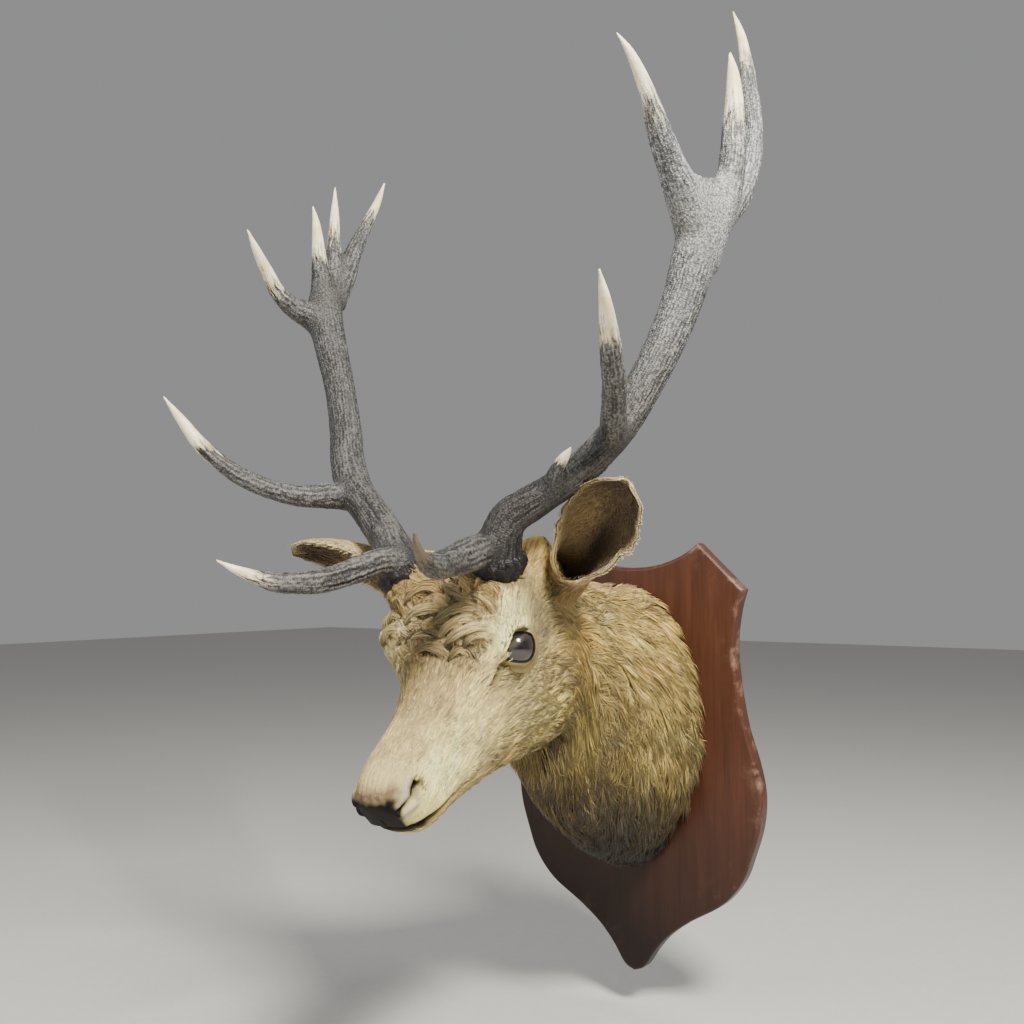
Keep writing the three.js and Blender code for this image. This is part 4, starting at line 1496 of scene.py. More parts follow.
# ------------------------------------------------------------------ ears
@dataclass(frozen=True)
class Ear:
    """A cupped ear: three points of its spine in the head frame, the way it opens, its shape along it."""

    base: Point
    bend: Point
    tip: Point
    face: Point
    seed: int
    origin: float

    def wander(self, u: Array, v: Array, seed: int, octaves: int = 1) -> Array:
        """The ear's own noise over u and v."""
        return noise(np.stack([u, v, u * 0], axis=1), self.seed + seed, octaves)

    def point(self, u: Array, v: Array, out: Array | float) -> tuple[Array, Array]:
        """Points of the ear: an arc of the given half angle across a quadratic Bezier spine, moved outwards.

        Args:
            u: places from base to tip, 0 to 1.
            v: places across, -1 to 1.
            out: distance behind the inner surface.

        Returns:
            The points and the way towards the inner side.
        """
        a, b, c = POSE.world(np.array([self.base, self.bend, self.tip]))
        w = u[:, None]
        spine = (1 - w) ** 2 * a + 2 * w * (1 - w) * b + w * w * c
        axis = unit(2 * (1 - w) * (b - a) + 2 * w * (c - b))
        face = np.array(self.face, float)
        opening = unit(face - axis * (axis @ face)[:, None])
        across = np.cross(opening, axis)
        notch = np.abs(self.wander(u * 26, np.sign(v) * 3, 2))
        uneven = 0.05 * self.wander(u * 9, np.sign(v) * 3, 0, 2) - 0.10 * notch ** 2
        rag = 1 + uneven * ease(np.abs(v), 0.6, 1)
        wrap = Rail([0, 0.27, 0.4, 0.55, 0.77, 1], [3.2, 3.12, 2.15, 1.3, 0.96, 0.7])(u)
        r = Rail([0, 0.15, 0.28, 0.42, 0.57, 0.75, 0.9, 1], [74, 76, 72, 60, 54, 48, 33, 8])(u) * rag / wrap
        q = v * wrap
        reach = r + out
        set_back = 0.7 * r * (0.25 + 0.75 * ease(u, 0.05, 0.42)) - reach * np.cos(q)
        p = spine + across * (reach * np.sin(q))[:, None] + opening * set_back[:, None]
        inward = unit(-across * np.sin(q)[:, None] + opening * np.cos(q)[:, None])
        curl = 2.2 * self.wander(u * 7, v * 0.8, 5, 2) * ease(np.abs(v), 0.55, 1)
        fold = 1.6 * np.cos(v * 3 * math.pi) * ease(-u, -0.8, -0.3) * ease(-np.abs(v), -0.95, -0.6)
        return p + inward * (curl + fold)[:, None], inward

    def thickness(self, u: Array) -> Array:
        """Skin to skin, thinner towards the tip."""
        return 1.6 + 4.0 * (1 - u)

    def colour(self, u: Array, v: Array, inside: Array) -> Array:
        """Tan inside with painted shade in the hollow low down and a pale rim, grey-tan behind, darkening
        toward the base as painted shade.

        Args:
            u: places from base to tip.
            v: places across.
            inside: 1 on the inner side, 0 behind.

        Returns:
            Linear colours.
        """
        n = noise(np.stack([u * 8, v * 5, inside * 3], axis=1), self.seed, 3)[:, None]
        inner = paint(linear((128, 110, 86)), (104, 88, 68), ease(u, 0.45, 0.8)) * (1 + 0.15 * n)
        # Painted shade in the ear's hollow low down.
        hollow = bell(v + 0.18, 0.26) * bell(u - 0.46, 0.2)
        inner = paint(inner, (30, 27, 24), 0.92 * hollow)
        front = ease(v, -0.2, 0.35) * ease(-u, -0.9, -0.55)
        inner = paint(inner, (158, 136, 94), 0.85 * front)
        # The back darkens toward the base as painted shade under the ear.
        back = paint(linear((200, 178, 132)), (146, 122, 82), ease(-u, -0.42, -0.16)) * (1 + 0.12 * n)
        tint = mix(back, inner, inside[:, None])
        pale = 0.3 + 0.55 * ease(-v, -0.3, 0.3)
        rim = pale * ease(np.abs(v), 0.86, 0.98) * ease(u, 0.36, 0.52)
        return paint(tint, (224, 208, 166), np.maximum(rim, 0.85 * ease(u, 0.93, 0.99)))

    def build(self) -> Shape:
        """The ear's skin: rows of closed loops, down the inner side and back up the outer, with rounded rims.

        Returns:
            The shape.
        """
        rows, half = 46, 30
        v_in = np.linspace(-1, 1, half)
        v = np.concatenate([v_in, [1.03], v_in[::-1], [-1.03]])
        share = np.concatenate([np.zeros(half), [0.5], np.ones(half), [0.5]])
        uu, vv = pairs(np.linspace(0.0, 1.0, rows) ** 0.92, v)
        ss = np.tile(share, rows)
        thick = self.thickness(uu) * np.where(np.abs(vv) > 0.9, 0.7, 1.0)
        p, _ = self.point(uu, vv, 1.0 + ss * thick)
        tint, unwrap = self.colour(uu, vv, 1 - ss), self.unwrap(uu, vv, ss)
        fibre = np.stack([uu * 180, vv * 60, ss * 30], axis=1) * MM
        ends = [0, -1]
        return outward(Shape(
            np.vstack([p, poles(p, len(v))]), tube_faces(rows, len(v), turned=True),
            np.vstack([tint, tint[ends]]), np.vstack([unwrap, unwrap[ends]]),
            {"Bare": np.zeros(len(p) + 2), "Fibre": np.vstack([fibre, np.zeros((2, 3))])},
        ))

    def unwrap(self, u: Array, v: Array, share: Array) -> Array:
        """A place on the unwrap: inner side beside outer side, in the ear's own strip."""
        across = np.where(share > 0.25, 0.36 - 0.08 * v, 0.12 + 0.08 * v)
        return np.stack([self.origin + across, 0.83 + 0.15 * u], axis=1)


def outward(shape: Shape) -> Shape:
    """Turns a closed shape's faces over if the sum of its triangles' triple products is negative.

    Args:
        shape: the closed shape.

    Returns:
        The shape with its faces outwards.
    """
    volume = 0.0
    for f in shape.faces:
        for k in range(1, f.shape[1] - 1):
            a, b, c = (shape.points[f[:, i]] for i in (0, k, k + 1))
            volume += np.sum(a * np.cross(b, c))
    if volume < 0:
        shape.faces = [f[:, ::-1] for f in shape.faces]
    return shape


EARS = {
    "left": Ear((68, 374, -46), (150, 383, 20), (228, 370, 101), (0.5, -0.85, 0), 21, 0.0),
    "right": Ear((-70, 374, -48), (-124, 359, 54), (-247, 326, 98), (-0.1, -0.5, -0.86), 34, 0.5),
}

COAT = Coat()
SKIN = Skin()


# ------------------------------------------------------------------ the loose coat
class Part(Enum):
    """Pieces of the loose coat."""

    FACE_LEFT = "coat_face_left"
    FACE_RIGHT = "coat_face_right"
    JAW_LEFT = "coat_jaw_left"
    JAW_RIGHT = "coat_jaw_right"
    FOREHEAD = "coat_forehead"
    POLL = "coat_poll"
    NECK_LEFT_HIGH = "coat_neck_left_high"
    NECK_LEFT_LOW = "coat_neck_left_low"
    NECK_RIGHT_HIGH = "coat_neck_right_high"
    NECK_RIGHT_LOW = "coat_neck_right_low"


@dataclass(frozen=True)
class Growth:
    """How one piece of coat is grown: where, how many hairs, how many rings each, and how they clump."""

    part: Part
    t_from: float
    t_to: float
    phi_from: float
    phi_to: float
    hairs: int
    rings: int
    clump: int
    gather: float
    seed: int
    curl: float = 0.35
    swirl: float = 0.42
    root: float = 0.55


# Where hairs stop short of the board's face.
HAIR_STOP = -23.2
# Darkest and lightest linear colour of a hair.
TINT_LIMITS = (0.003, 0.95)
# Seeds of the scattered locks' places and of all locks' strands.
SCATTER_SEED = 91
LOCK_SEED = 201
# How many hairs each ear has, and their seed.
EAR_HAIRS = {"left": (5200, 301), "right": (4000, 302)}
# An ear's length, by which its hairs are laid along it.
EAR_LENGTH = 190.0


@dataclass(frozen=True)
class Lock:
    """One curled lock: its middle line in the head frame, its half width and how many strands it has."""

    line: Path
    half: float
    strands: int


class Fur:
    """Grows hairs on the skin."""

    def keep_clear(self, lab: Array) -> Array:
        """Where hairs may root: off the nose pad, nostrils, lips and eyes.

        Args:
            lab: N by 3, head frame.

        Returns:
            N shares, 0 where nothing grows.
        """
        m = mirrored(lab)
        lips, along = near(m, MOUTH)
        slit, _ = near(m, NOSTRIL)
        duct, _ = near(m, TEAR_DUCT)
        away = m - np.array(EYE.at)
        u, v, out = (away @ EYE.axes.T).T
        eye = np.where((out > -5) & (size(away) < 60), ease(EYE.opening(u, v), 1.2, 1.48), 1.0)
        front = np.maximum(ease(lab[:, 1], 26, 70), ease(-lab[:, 2] - 0.33 * lab[:, 1], 52, 58))
        slack = np.interp(along, [0, 0.35, 0.7, 1], [6.0, 4.0, 2.0, 0.0])
        hang, _ = near(m + UNDER_LIP, MOUTH)
        openings = ease(np.minimum(lips, hang) - slack, 2.2, 4.5) * ease(slit, 7, 12) * ease(duct, 3, 6)
        return eye * openings * (1 - SKIN.pad(lab)) * (0.15 + 0.85 * front)

    def share(self, g: Growth, lab: Array, t: Array) -> Array:
        """How thickly a piece grows at a place: the curls on the forehead, the rest round them, thinner where
        pieces overlap.

        Args:
            g: the piece's growth.
            lab: N by 3, head frame.
            t: N places along.

        Returns:
            N shares.
        """
        curly = SKIN.curly(lab)
        if g.part is Part.FOREHEAD:
            return self.keep_clear(lab) * curly
        begin = ease(t, g.t_from, g.t_from + 50) if g.t_from > 100 else 1.0
        end = 1 - ease(t, g.t_to - 50, g.t_to) if g.t_to < 500 else 1.0
        return self.keep_clear(lab) * (1 - 0.8 * curly) * begin * end

    def roots(self, g: Growth, rng: np.random.Generator) -> tuple[Array, Array]:
        """Roots spread evenly over a piece's area, thinned where the coat keeps clear.

        Args:
            g: the piece's growth.
            rng: the seeded draws.

        Returns:
            The places t and phi of the roots.
        """
        cells = 90
        t_edge = np.linspace(g.t_from, g.t_to, cells + 1)
        f_edge = np.radians(np.linspace(g.phi_from, g.phi_to, cells + 1))
        tc, fc = pairs((t_edge[1:] + t_edge[:-1]) / 2, (f_edge[1:] + f_edge[:-1]) / 2)
        d_t, d_f, _ = FORM.slopes(tc, fc)
        p = FORM.outline(tc, fc)
        area = size(np.cross(d_t, d_f))
        _, length, width, _ = COAT.measure(p)
        weight = area * self.share(g, POSE.local(p), tc) / (length * width) ** 0.55
        run = np.cumsum(weight)
        pick = np.searchsorted(run, rng.random(g.hairs) * run[-1])
        t = tc[pick] + (rng.random(g.hairs) - 0.5) * (t_edge[1] - t_edge[0])
        phi = fc[pick] + (rng.random(g.hairs) - 0.5) * (f_edge[1] - f_edge[0])
        keep = self.share(g, POSE.local(FORM.outline(t, phi)), t) > rng.random(g.hairs) * 0.6
        return t[keep], phi[keep]

    def steps(self, t: Array, phi: Array) -> tuple[Array, Array, Array, Array, Array, Array, Array]:
        """The lie of the coat as steps of t and phi: for a millimetre along it, and for one across it.

        Args:
            t: N places along.
            phi: N angles round.

        Returns:
            Steps along (N by 2), steps across (N by 2), the outline's point, the two ways in space (N by 2
            by 3), length, width and stand.
        """
        p = FORM.outline(t, phi)
        d_t, d_f, n = FORM.slopes(t, phi)
        lie, length, width, stand = COAT.measure(p)
        lie = unit(lie - n * dot(lie, n))
        tt, tf, ff = (np.sum(a * b, axis=1) for a, b in ((d_t, d_t), (d_t, d_f), (d_f, d_f)))
        det = np.maximum(tt * ff - tf * tf, 1e-6)
        pair = []
        for way in (lie, np.cross(n, lie)):
            lt, lf = np.sum(way * d_t, axis=1), np.sum(way * d_f, axis=1)
            pair.append(np.stack([(lt * ff - lf * tf) / det, (lf * tt - lt * tf) / det], axis=1))
        return pair[0], pair[1], p, np.stack([lie, np.cross(n, lie)], axis=1), length, width, stand

    def owners(self, p: Array, lie: Array, of: Array, long: float) -> Array:
        """The nearest chosen place to each place, where distance along the lie counts less.

        Args:
            p: N by 3, the places.
            lie: the lie of the coat at each.
            of: numbers of the chosen places.
            long: how many times less.

        Returns:
            The number of each place's chosen one.
        """
        found = np.empty(len(p), int)
        for start in range(0, len(p), BLOCK):
            block = slice(start, start + BLOCK)
            rel = p[block, None] - p[of][None]
            along = np.einsum("nmk,nk->nm", rel, lie[block])
            found[block] = ((rel ** 2).sum(-1) - along ** 2 * (1 - 1 / long ** 2)).argmin(1)
        return of[found]

    def sideways(self, offset: Array, along: Array, across: Array) -> Array:
        """The part of an offset that lies across the coat, with a quarter of the part along it.

        Args:
            offset: N by rings by 2, in t and phi.
            along: N by 2, the step along the coat.
            across: N by 2, the step across it.

        Returns:
            N by rings by 2.
        """
        cross = (along[:, 0] * across[:, 1] - along[:, 1] * across[:, 0])[:, None]
        a = (offset[..., 0] * across[:, 1, None] - offset[..., 1] * across[:, 0, None]) / cross
        b = (offset[..., 1] * along[:, 0, None] - offset[..., 0] * along[:, 1, None]) / cross
        return 0.25 * a[..., None] * along[:, None] + b[..., None] * across[:, None]

    def grow(self, g: Growth) -> Shape:
        """Hairs of one piece: each an arc over the skin, drawn to its tuft's leader, and that to its lock's.

        Args:
            g: the piece's growth.

        Returns:
            The hairs as one shape.
        """
        rng = np.random.default_rng(g.seed)
        t, phi = self.roots(g, rng)
        count = len(t)
        along, across, p0, ways, length, width, stand = self.steps(t, phi)
        leaders = rng.permutation(count)[: max(count // g.clump, 1)]
        long = 1.0 if g.part is Part.FOREHEAD else 3.2
        lead = self.owners(p0, ways[:, 0], leaders, long)
        heads = leaders[: max(len(leaders) // 7, 1)]
        chief = self.owners(p0, ways[:, 0], heads, long)
        turn = g.swirl * noise(p0[lead] / 24.0, 11, 2) + 0.25 * noise(p0 / 8.0, 12)
        turn = turn + rng.normal(0, 0.09, count) + rng.normal(0, 0.12, count)[lead]
        curl = g.curl * (rng.normal(0, 0.8, count)[lead] + rng.normal(0, 0.35, count))
        curl = curl + 0.6 * g.curl * np.sign(noise(p0[chief] / 20.0, 13))
        if g.part is Part.FOREHEAD:
            _, round_it, spin = SKIN.whorl(POSE.local(p0))
            want = POSE.direction(round_it)
            turn = np.arctan2(dot(want, ways[:, 1])[:, 0], dot(want, ways[:, 0])[:, 0])
            turn = turn + rng.normal(0, 0.3, count)
            curl = spin * length / 11.0 * rng.uniform(0.6, 1.3, count)
        curl = np.where(np.abs(curl) < 0.05, 0.05, curl)
        length = length * (0.45 * rng.uniform(0.7, 1.3, count) + 0.55 * rng.uniform(0.7, 1.25, count)[lead])
        s = np.linspace(0, 1, g.rings)
        bend = turn[:, None] + curl[:, None] * s
        ahead = (np.sin(bend) - np.sin(turn)[:, None]) / curl[:, None] * length[:, None]
        aside = (np.cos(turn)[:, None] - np.cos(bend)) / curl[:, None] * length[:, None]
        path = np.stack([t, phi], axis=1)[:, None]
        path = path + ahead[..., None] * along[:, None] + aside[..., None] * across[:, None]
        pull = g.gather * (s ** 1.3)[None, :, None]
        to_chief = self.sideways(path[chief[leaders]] - path[leaders], along[leaders], across[leaders])
        path[leaders] += to_chief * (0.55 * pull)
        to_lead = self.sideways(path[lead] - path, along, across)
        path = path + to_lead * (pull * rng.uniform(0.5, 1.25, count)[:, None, None])
        apart = size(p0 - p0[chief])
        dome = 1 - 0.45 * ease(apart, 0, np.percentile(apart, 85))
        vigour = 0.35 * rng.random(count) + 0.35 * rng.random(count)[lead] + 0.3 * rng.random(count)[chief]
        high = stand * (0.35 + 1.0 * vigour) * dome
        height = high[:, None] * (s ** 0.75)[None] - 0.8 * (1 - s)[None]
        along_t = np.clip(path[..., 0], 0.5, FORM.end - 1.5)
        points, normals = SKIN.place(along_t.ravel(), path[..., 1].ravel(), height.ravel())
        points[:, 1] = np.minimum(points[:, 1], HAIR_STOP)
        shape = (count, g.rings, 3)
        taper = np.interp(s, [0, 0.35, 0.75, 1.0], [0.75, 1.0, 0.72, 0.3])
        shade = 1 + rng.normal(0, 0.13, count) + rng.normal(0, 0.17, count)[lead]
        shade = (shade + rng.normal(0, 0.09, count)[chief]) * (0.8 + 0.4 * vigour)
        warmth = rng.normal(0.0, 0.03, count) + rng.normal(0.0, 0.025, count)[lead]
        fade = np.interp(s, [0, 0.4, 1.0], [g.root, 0.94, 1.14])[None, :, None]
        warm = 1 + warmth[:, None, None] * np.array([1.0, 0.2, -1.2])
        tint = np.clip(COAT.colour(p0)[:, None] * shade[:, None, None] * fade * warm, *TINT_LIMITS)
        root = np.stack([(phi / (2 * math.pi) + 0.5) % 1.0, 0.8 * t / FORM.end], axis=1)
        return prisms(points.reshape(shape), normals.reshape(shape), width[:, None] * taper[None], tint, root)

    def whorls(self) -> list[Lock]:
        """The forehead's locks: the main ones, lifted in the middle, and hooked arcs scattered between them.

        Returns:
            The locks.
        """
        rng = np.random.default_rng(SCATTER_SEED)
        tt, ff = pairs(np.linspace(170, 350, 90), np.radians(np.linspace(-80, 80, 90)))
        skin = POSE.local(SKIN.place(tt, ff)[0])
        found = []
        for path, half in LOCKS:
            bulge = np.sin(math.pi * np.linspace(0.08, 0.86, len(path)))
            found.append(
                Lock([(a, b, c + 0.5 + 5.5 * lift) for (a, b, c), lift in zip(path, bulge)], half, 150)
            )
        for across in np.arange(-72, 80, 25.0):
            for back in np.arange(190, 322, 22.0):
                c = np.array([across, back]) + rng.uniform(-7, 7, 2)
                side = skin[((skin[:, :2] - c) ** 2).sum(1).argmin()]
                begin = math.atan2(0.9, -0.6 * np.sign(c[0])) + rng.normal(0, 0.6)
                sweep = rng.uniform(0.8, 2.0) * rng.choice([-1, 1])
                if SKIN.curly(side[None])[0] < 0.3:
                    continue
                points = []
                wide = rng.uniform(12.0, 19.0)
                for share in np.linspace(0, 1, 6):
                    angle = begin + sweep * share
                    at = c + wide * (1 - 0.4 * share) * np.array([math.cos(angle), math.sin(angle)])
                    b = skin[((skin[:, :2] - at) ** 2).sum(1).argmin(), 2]
                    points.append((at[0], at[1], b + 0.4 + 4.0 * math.sin(math.pi * (0.06 + 0.74 * share))))
                found.append(Lock(points, rng.uniform(4.0, 6.5), 60))
        return found

    def locks(self, locks: list[Lock]) -> Shape:
        """Curled locks: strands laid round a middle line, close at the root, fullest at a third, twisted and
        gathered at the tip.

        Args:
            locks: the locks.

        Returns:
            The strands as one shape.
        """
        rng = np.random.default_rng(LOCK_SEED)
        made = []
        rings = 7
        s = np.linspace(0, 1, rings)
        up = POSE.direction(np.array([0.0, -0.1, 1.0]))[0]
        for lock in locks:
            count = lock.strands
            line = Route(POSE.world(np.array(lock.line)))
            ahead = unit(np.gradient(line(s), axis=0))
            out = unit(up - ahead * (ahead @ up)[:, None])
            side = np.cross(ahead, out)
            angle = rng.uniform(0, 2 * math.pi, count)
            reach = np.sqrt(rng.uniform(0.15, 1.0, count))
            twist = angle[:, None] + s[None] * rng.normal(0.6, 0.35, (count, 1))
            begin, share = rng.uniform(0, 0.36, count)[:, None], rng.uniform(0.5, 0.7, count)[:, None]
            run = begin + share * s[None]
            full = lock.half * np.interp(run, [0, 0.25, 0.7, 1.0], [0.35, 1.0, 0.95, 0.7]) * reach[:, None]
            wild = 1 + 0.3 * rng.normal(0, 1, (count, 1)) * s[None] + 0.08 * rng.normal(0, 1, (count, rings))
            x, y = np.cos(twist) * full * wild, np.sin(twist) * full * 0.45 * wild
            centre = line(np.clip(run.ravel(), 0, 1)).reshape(count, rings, 3)
            out_at, side_at = (
                np.stack([np.interp(run, s, way[:, k]) for k in range(3)], axis=-1) for way in (out, side)
            )
            paths = centre + side_at * x[..., None] + out_at * y[..., None]
            normal = unit(side_at * np.cos(twist)[..., None] + out_at * (np.sin(twist) + 0.6)[..., None])
            width = rng.uniform(0.65, 1.05, count)[:, None] * np.interp(s, [0, 0.5, 1], [0.9, 1.0, 0.3])[None]
            base = COAT.colour(paths[:, 0]) * rng.uniform(0.72, 1.25)
            lit = 0.66 + 0.5 * (np.sin(twist) * 0.5 + 0.5)
            fade = np.interp(s, [0, 0.5, 1], [0.38, 0.95, 1.45])[None, :, None]
            tint = base[:, None] * rng.normal(1.0, 0.2, (count, 1, 1)) * lit[..., None] * fade
            lab = POSE.local(paths[:, 0])
            root = np.stack([0.5 + lab[:, 0] / 900.0, 0.25 + lab[:, 1] / 900.0], axis=1)
            made.append(prisms(paths, normal, width, np.clip(tint, 0.003, 0.9), root))
        return joined(made)

    def ear(self, ear: Ear, count: int, seed: int) -> Shape:
        """Short hair on both sides of an ear, lying towards the tip, and a ragged fringe along the rim.

        Args:
            ear: the ear.
            count: how many hairs.
            seed: the seed.

        Returns:
            The hairs as one shape.
        """
        rng = np.random.default_rng(seed)
        fringe = rng.random(count) < 0.22
        inside = rng.random(count) < 0.5
        u = np.where(fringe, rng.uniform(0.12, 0.985, count), rng.uniform(0.0, 0.97, count) ** 1.15)
        edge = np.where(rng.random(count) < 0.5, -1.0, 1.0)
        v = np.where(fringe, edge * rng.uniform(0.93, 1.02, count), rng.uniform(-0.97, 0.97, count))
        side = np.where(inside, 1.0, 0.0)
        short, inner, outer = rng.uniform(4, 9, count), rng.uniform(6, 12, count), rng.uniform(7, 12, count)
        length = np.where(fringe, short, np.where(inside, inner, outer))
        length = length * np.where(inside & (np.abs(v) < 0.6), 0.8, 1.0)
        length = length * np.where(inside, 1.0, 1 + 1.2 * ease(-u, -0.3, -0.1))
        s = np.linspace(0, 1, 3)
        drift = rng.normal(0, 0.05, count) - np.where(inside & ~fringe, 0.06 * v, 0.0)
        drift = drift + np.where(fringe, 0.07 * edge, 0.0)
        reach = u[:, None] + s[None] * (length / EAR_LENGTH)[:, None]
        uu = np.clip(reach, 0, 1.0)
        vv = v[:, None] + s[None] * drift[:, None]
        over = reach - uu
        lift = (0.35 + rng.uniform(0.2, 1.3, count))[:, None] * s[None]
        thick = ear.thickness(uu)
        out = np.where(inside[:, None], 1.0 - lift, 1.0 + thick * 0.85 + lift)
        points, inward = ear.point(uu.ravel(), vv.ravel(), out.ravel())
        axis = unit(POSE.world(np.array([ear.tip])) - POSE.world(np.array([ear.bend])))
        points = points + axis * (over.ravel() * EAR_LENGTH)[:, None]
        normal = np.where(np.repeat(inside, 3)[:, None], inward, -inward)
        fade = np.array([0.65, 1.0, 1.15])[None, :, None]
        tint = np.clip(
            ear.colour(u, v, side)[:, None] * rng.normal(1.0, 0.13, (count, 1, 1)) * fade, *TINT_LIMITS
        )
        width = rng.uniform(0.7, 1.1, count)[:, None] * np.array([0.9, 1.0, 0.3])[None]
        shape = (count, 3, 3)
        return prisms(points.reshape(shape), normal.reshape(shape), width, tint, ear.unwrap(u, v, 1 - side))


# ------------------------------------------------------------------ eyes and lids
class Eyes:
    """The two glass eyes and the lids' edges."""

    def ball(self, sign: int) -> Shape:
        """A glass eye: a sphere with the iris and pupil painted by angle from the way it looks, and a painted
        grey reflection over its upper part.

        Args:
            sign: 1 on the left, -1 on the right.

        Returns:
            The shape.
        """
        rings, cols = 36, 56
        qq, aa = pairs(np.linspace(0.02, math.pi - 0.02, rings), circle(cols))
        axes, centre = EYE.placed(sign)
        local = np.stack([np.sin(qq) * np.cos(aa), np.sin(qq) * np.sin(aa), np.cos(qq)], axis=1)
        bulge = 1 + 0.035 * bell(qq, 0.55)
        p = centre + (local * (EYE.radius * bulge)[:, None]) @ axes
        pupil = ease(-np.hypot(local[:, 0] / 0.42, local[:, 1] / 0.2), -1.1, -0.95)
        tint = paint(linear((20, 16, 14)), (36, 26, 20), ease(-qq, -0.74, -0.66))
        tint = paint(tint, (8, 7, 7), pupil)
        # Painted reflection: a grey sheen over the eye's upper part.
        tint = paint(tint, (84, 80, 75), 0.7 * ease(local[:, 1], 0.1, 0.45))
        whole = Shape(
            np.vstack([p, poles(p, cols)]), tube_faces(rings, cols), np.vstack([tint, tint[[0, -1]]])
        )
        return outward(whole)

    def lid(self, sign: int) -> Shape:
        """The lids' edge: a round cord of skin laid on the ball along the opening, thicker above.

        Args:
            sign: 1 on the left, -1 on the right.

        Returns:
            The shape.
        """
        rows, cols = 120, 10
        ring = np.stack([np.cos(circle(rows)), np.sin(circle(rows))], axis=1)
        low, high = np.zeros(rows), np.full(rows, 40.0)
        for _ in range(30):
            r = (low + high) / 2
            inside = EYE.opening(ring[:, 0] * r, ring[:, 1] * r) < 1.0
            low, high = np.where(inside, r, low), np.where(inside, high, r)
        u, v = ring[:, 0] * low, ring[:, 1] * low
        top = EYE.radius + EYE.gap
        line = np.stack([u, v, np.sqrt(np.maximum(top ** 2 - u * u - v * v, 4.0))], axis=1)
        ahead = unit(np.roll(line, -1, axis=0) - np.roll(line, 1, axis=0))
        out = unit(line)
        side = np.cross(ahead, out)
        q = circle(cols)
        thick = 0.95 + 0.35 * ease(v, -2, 8)
        round_it = side[:, None] * np.cos(q)[None, :, None] + out[:, None] * np.sin(q)[None, :, None] * 1.1
        axes, centre = EYE.placed(sign)
        p = (line[:, None] + thick[:, None, None] * round_it).reshape(-1, 3) @ axes + centre
        i, j = np.meshgrid(np.arange(rows), np.arange(cols), indexing="ij")
        corners = ((i, j), (i, j + 1), (i + 1, j + 1), (i + 1, j))
        faces = np.stack([(r % rows) * cols + c % cols for r, c in corners], axis=-1).reshape(-1, 4)
        tint = paint(linear((98, 84, 68)), (34, 28, 25), np.tile(ease(-np.cos(q), -0.8, 0.0), rows))
        return outward(Shape(p, [faces], tint, None, {"Bare": np.full(len(p), 0.6), "Fibre": p * MM}))


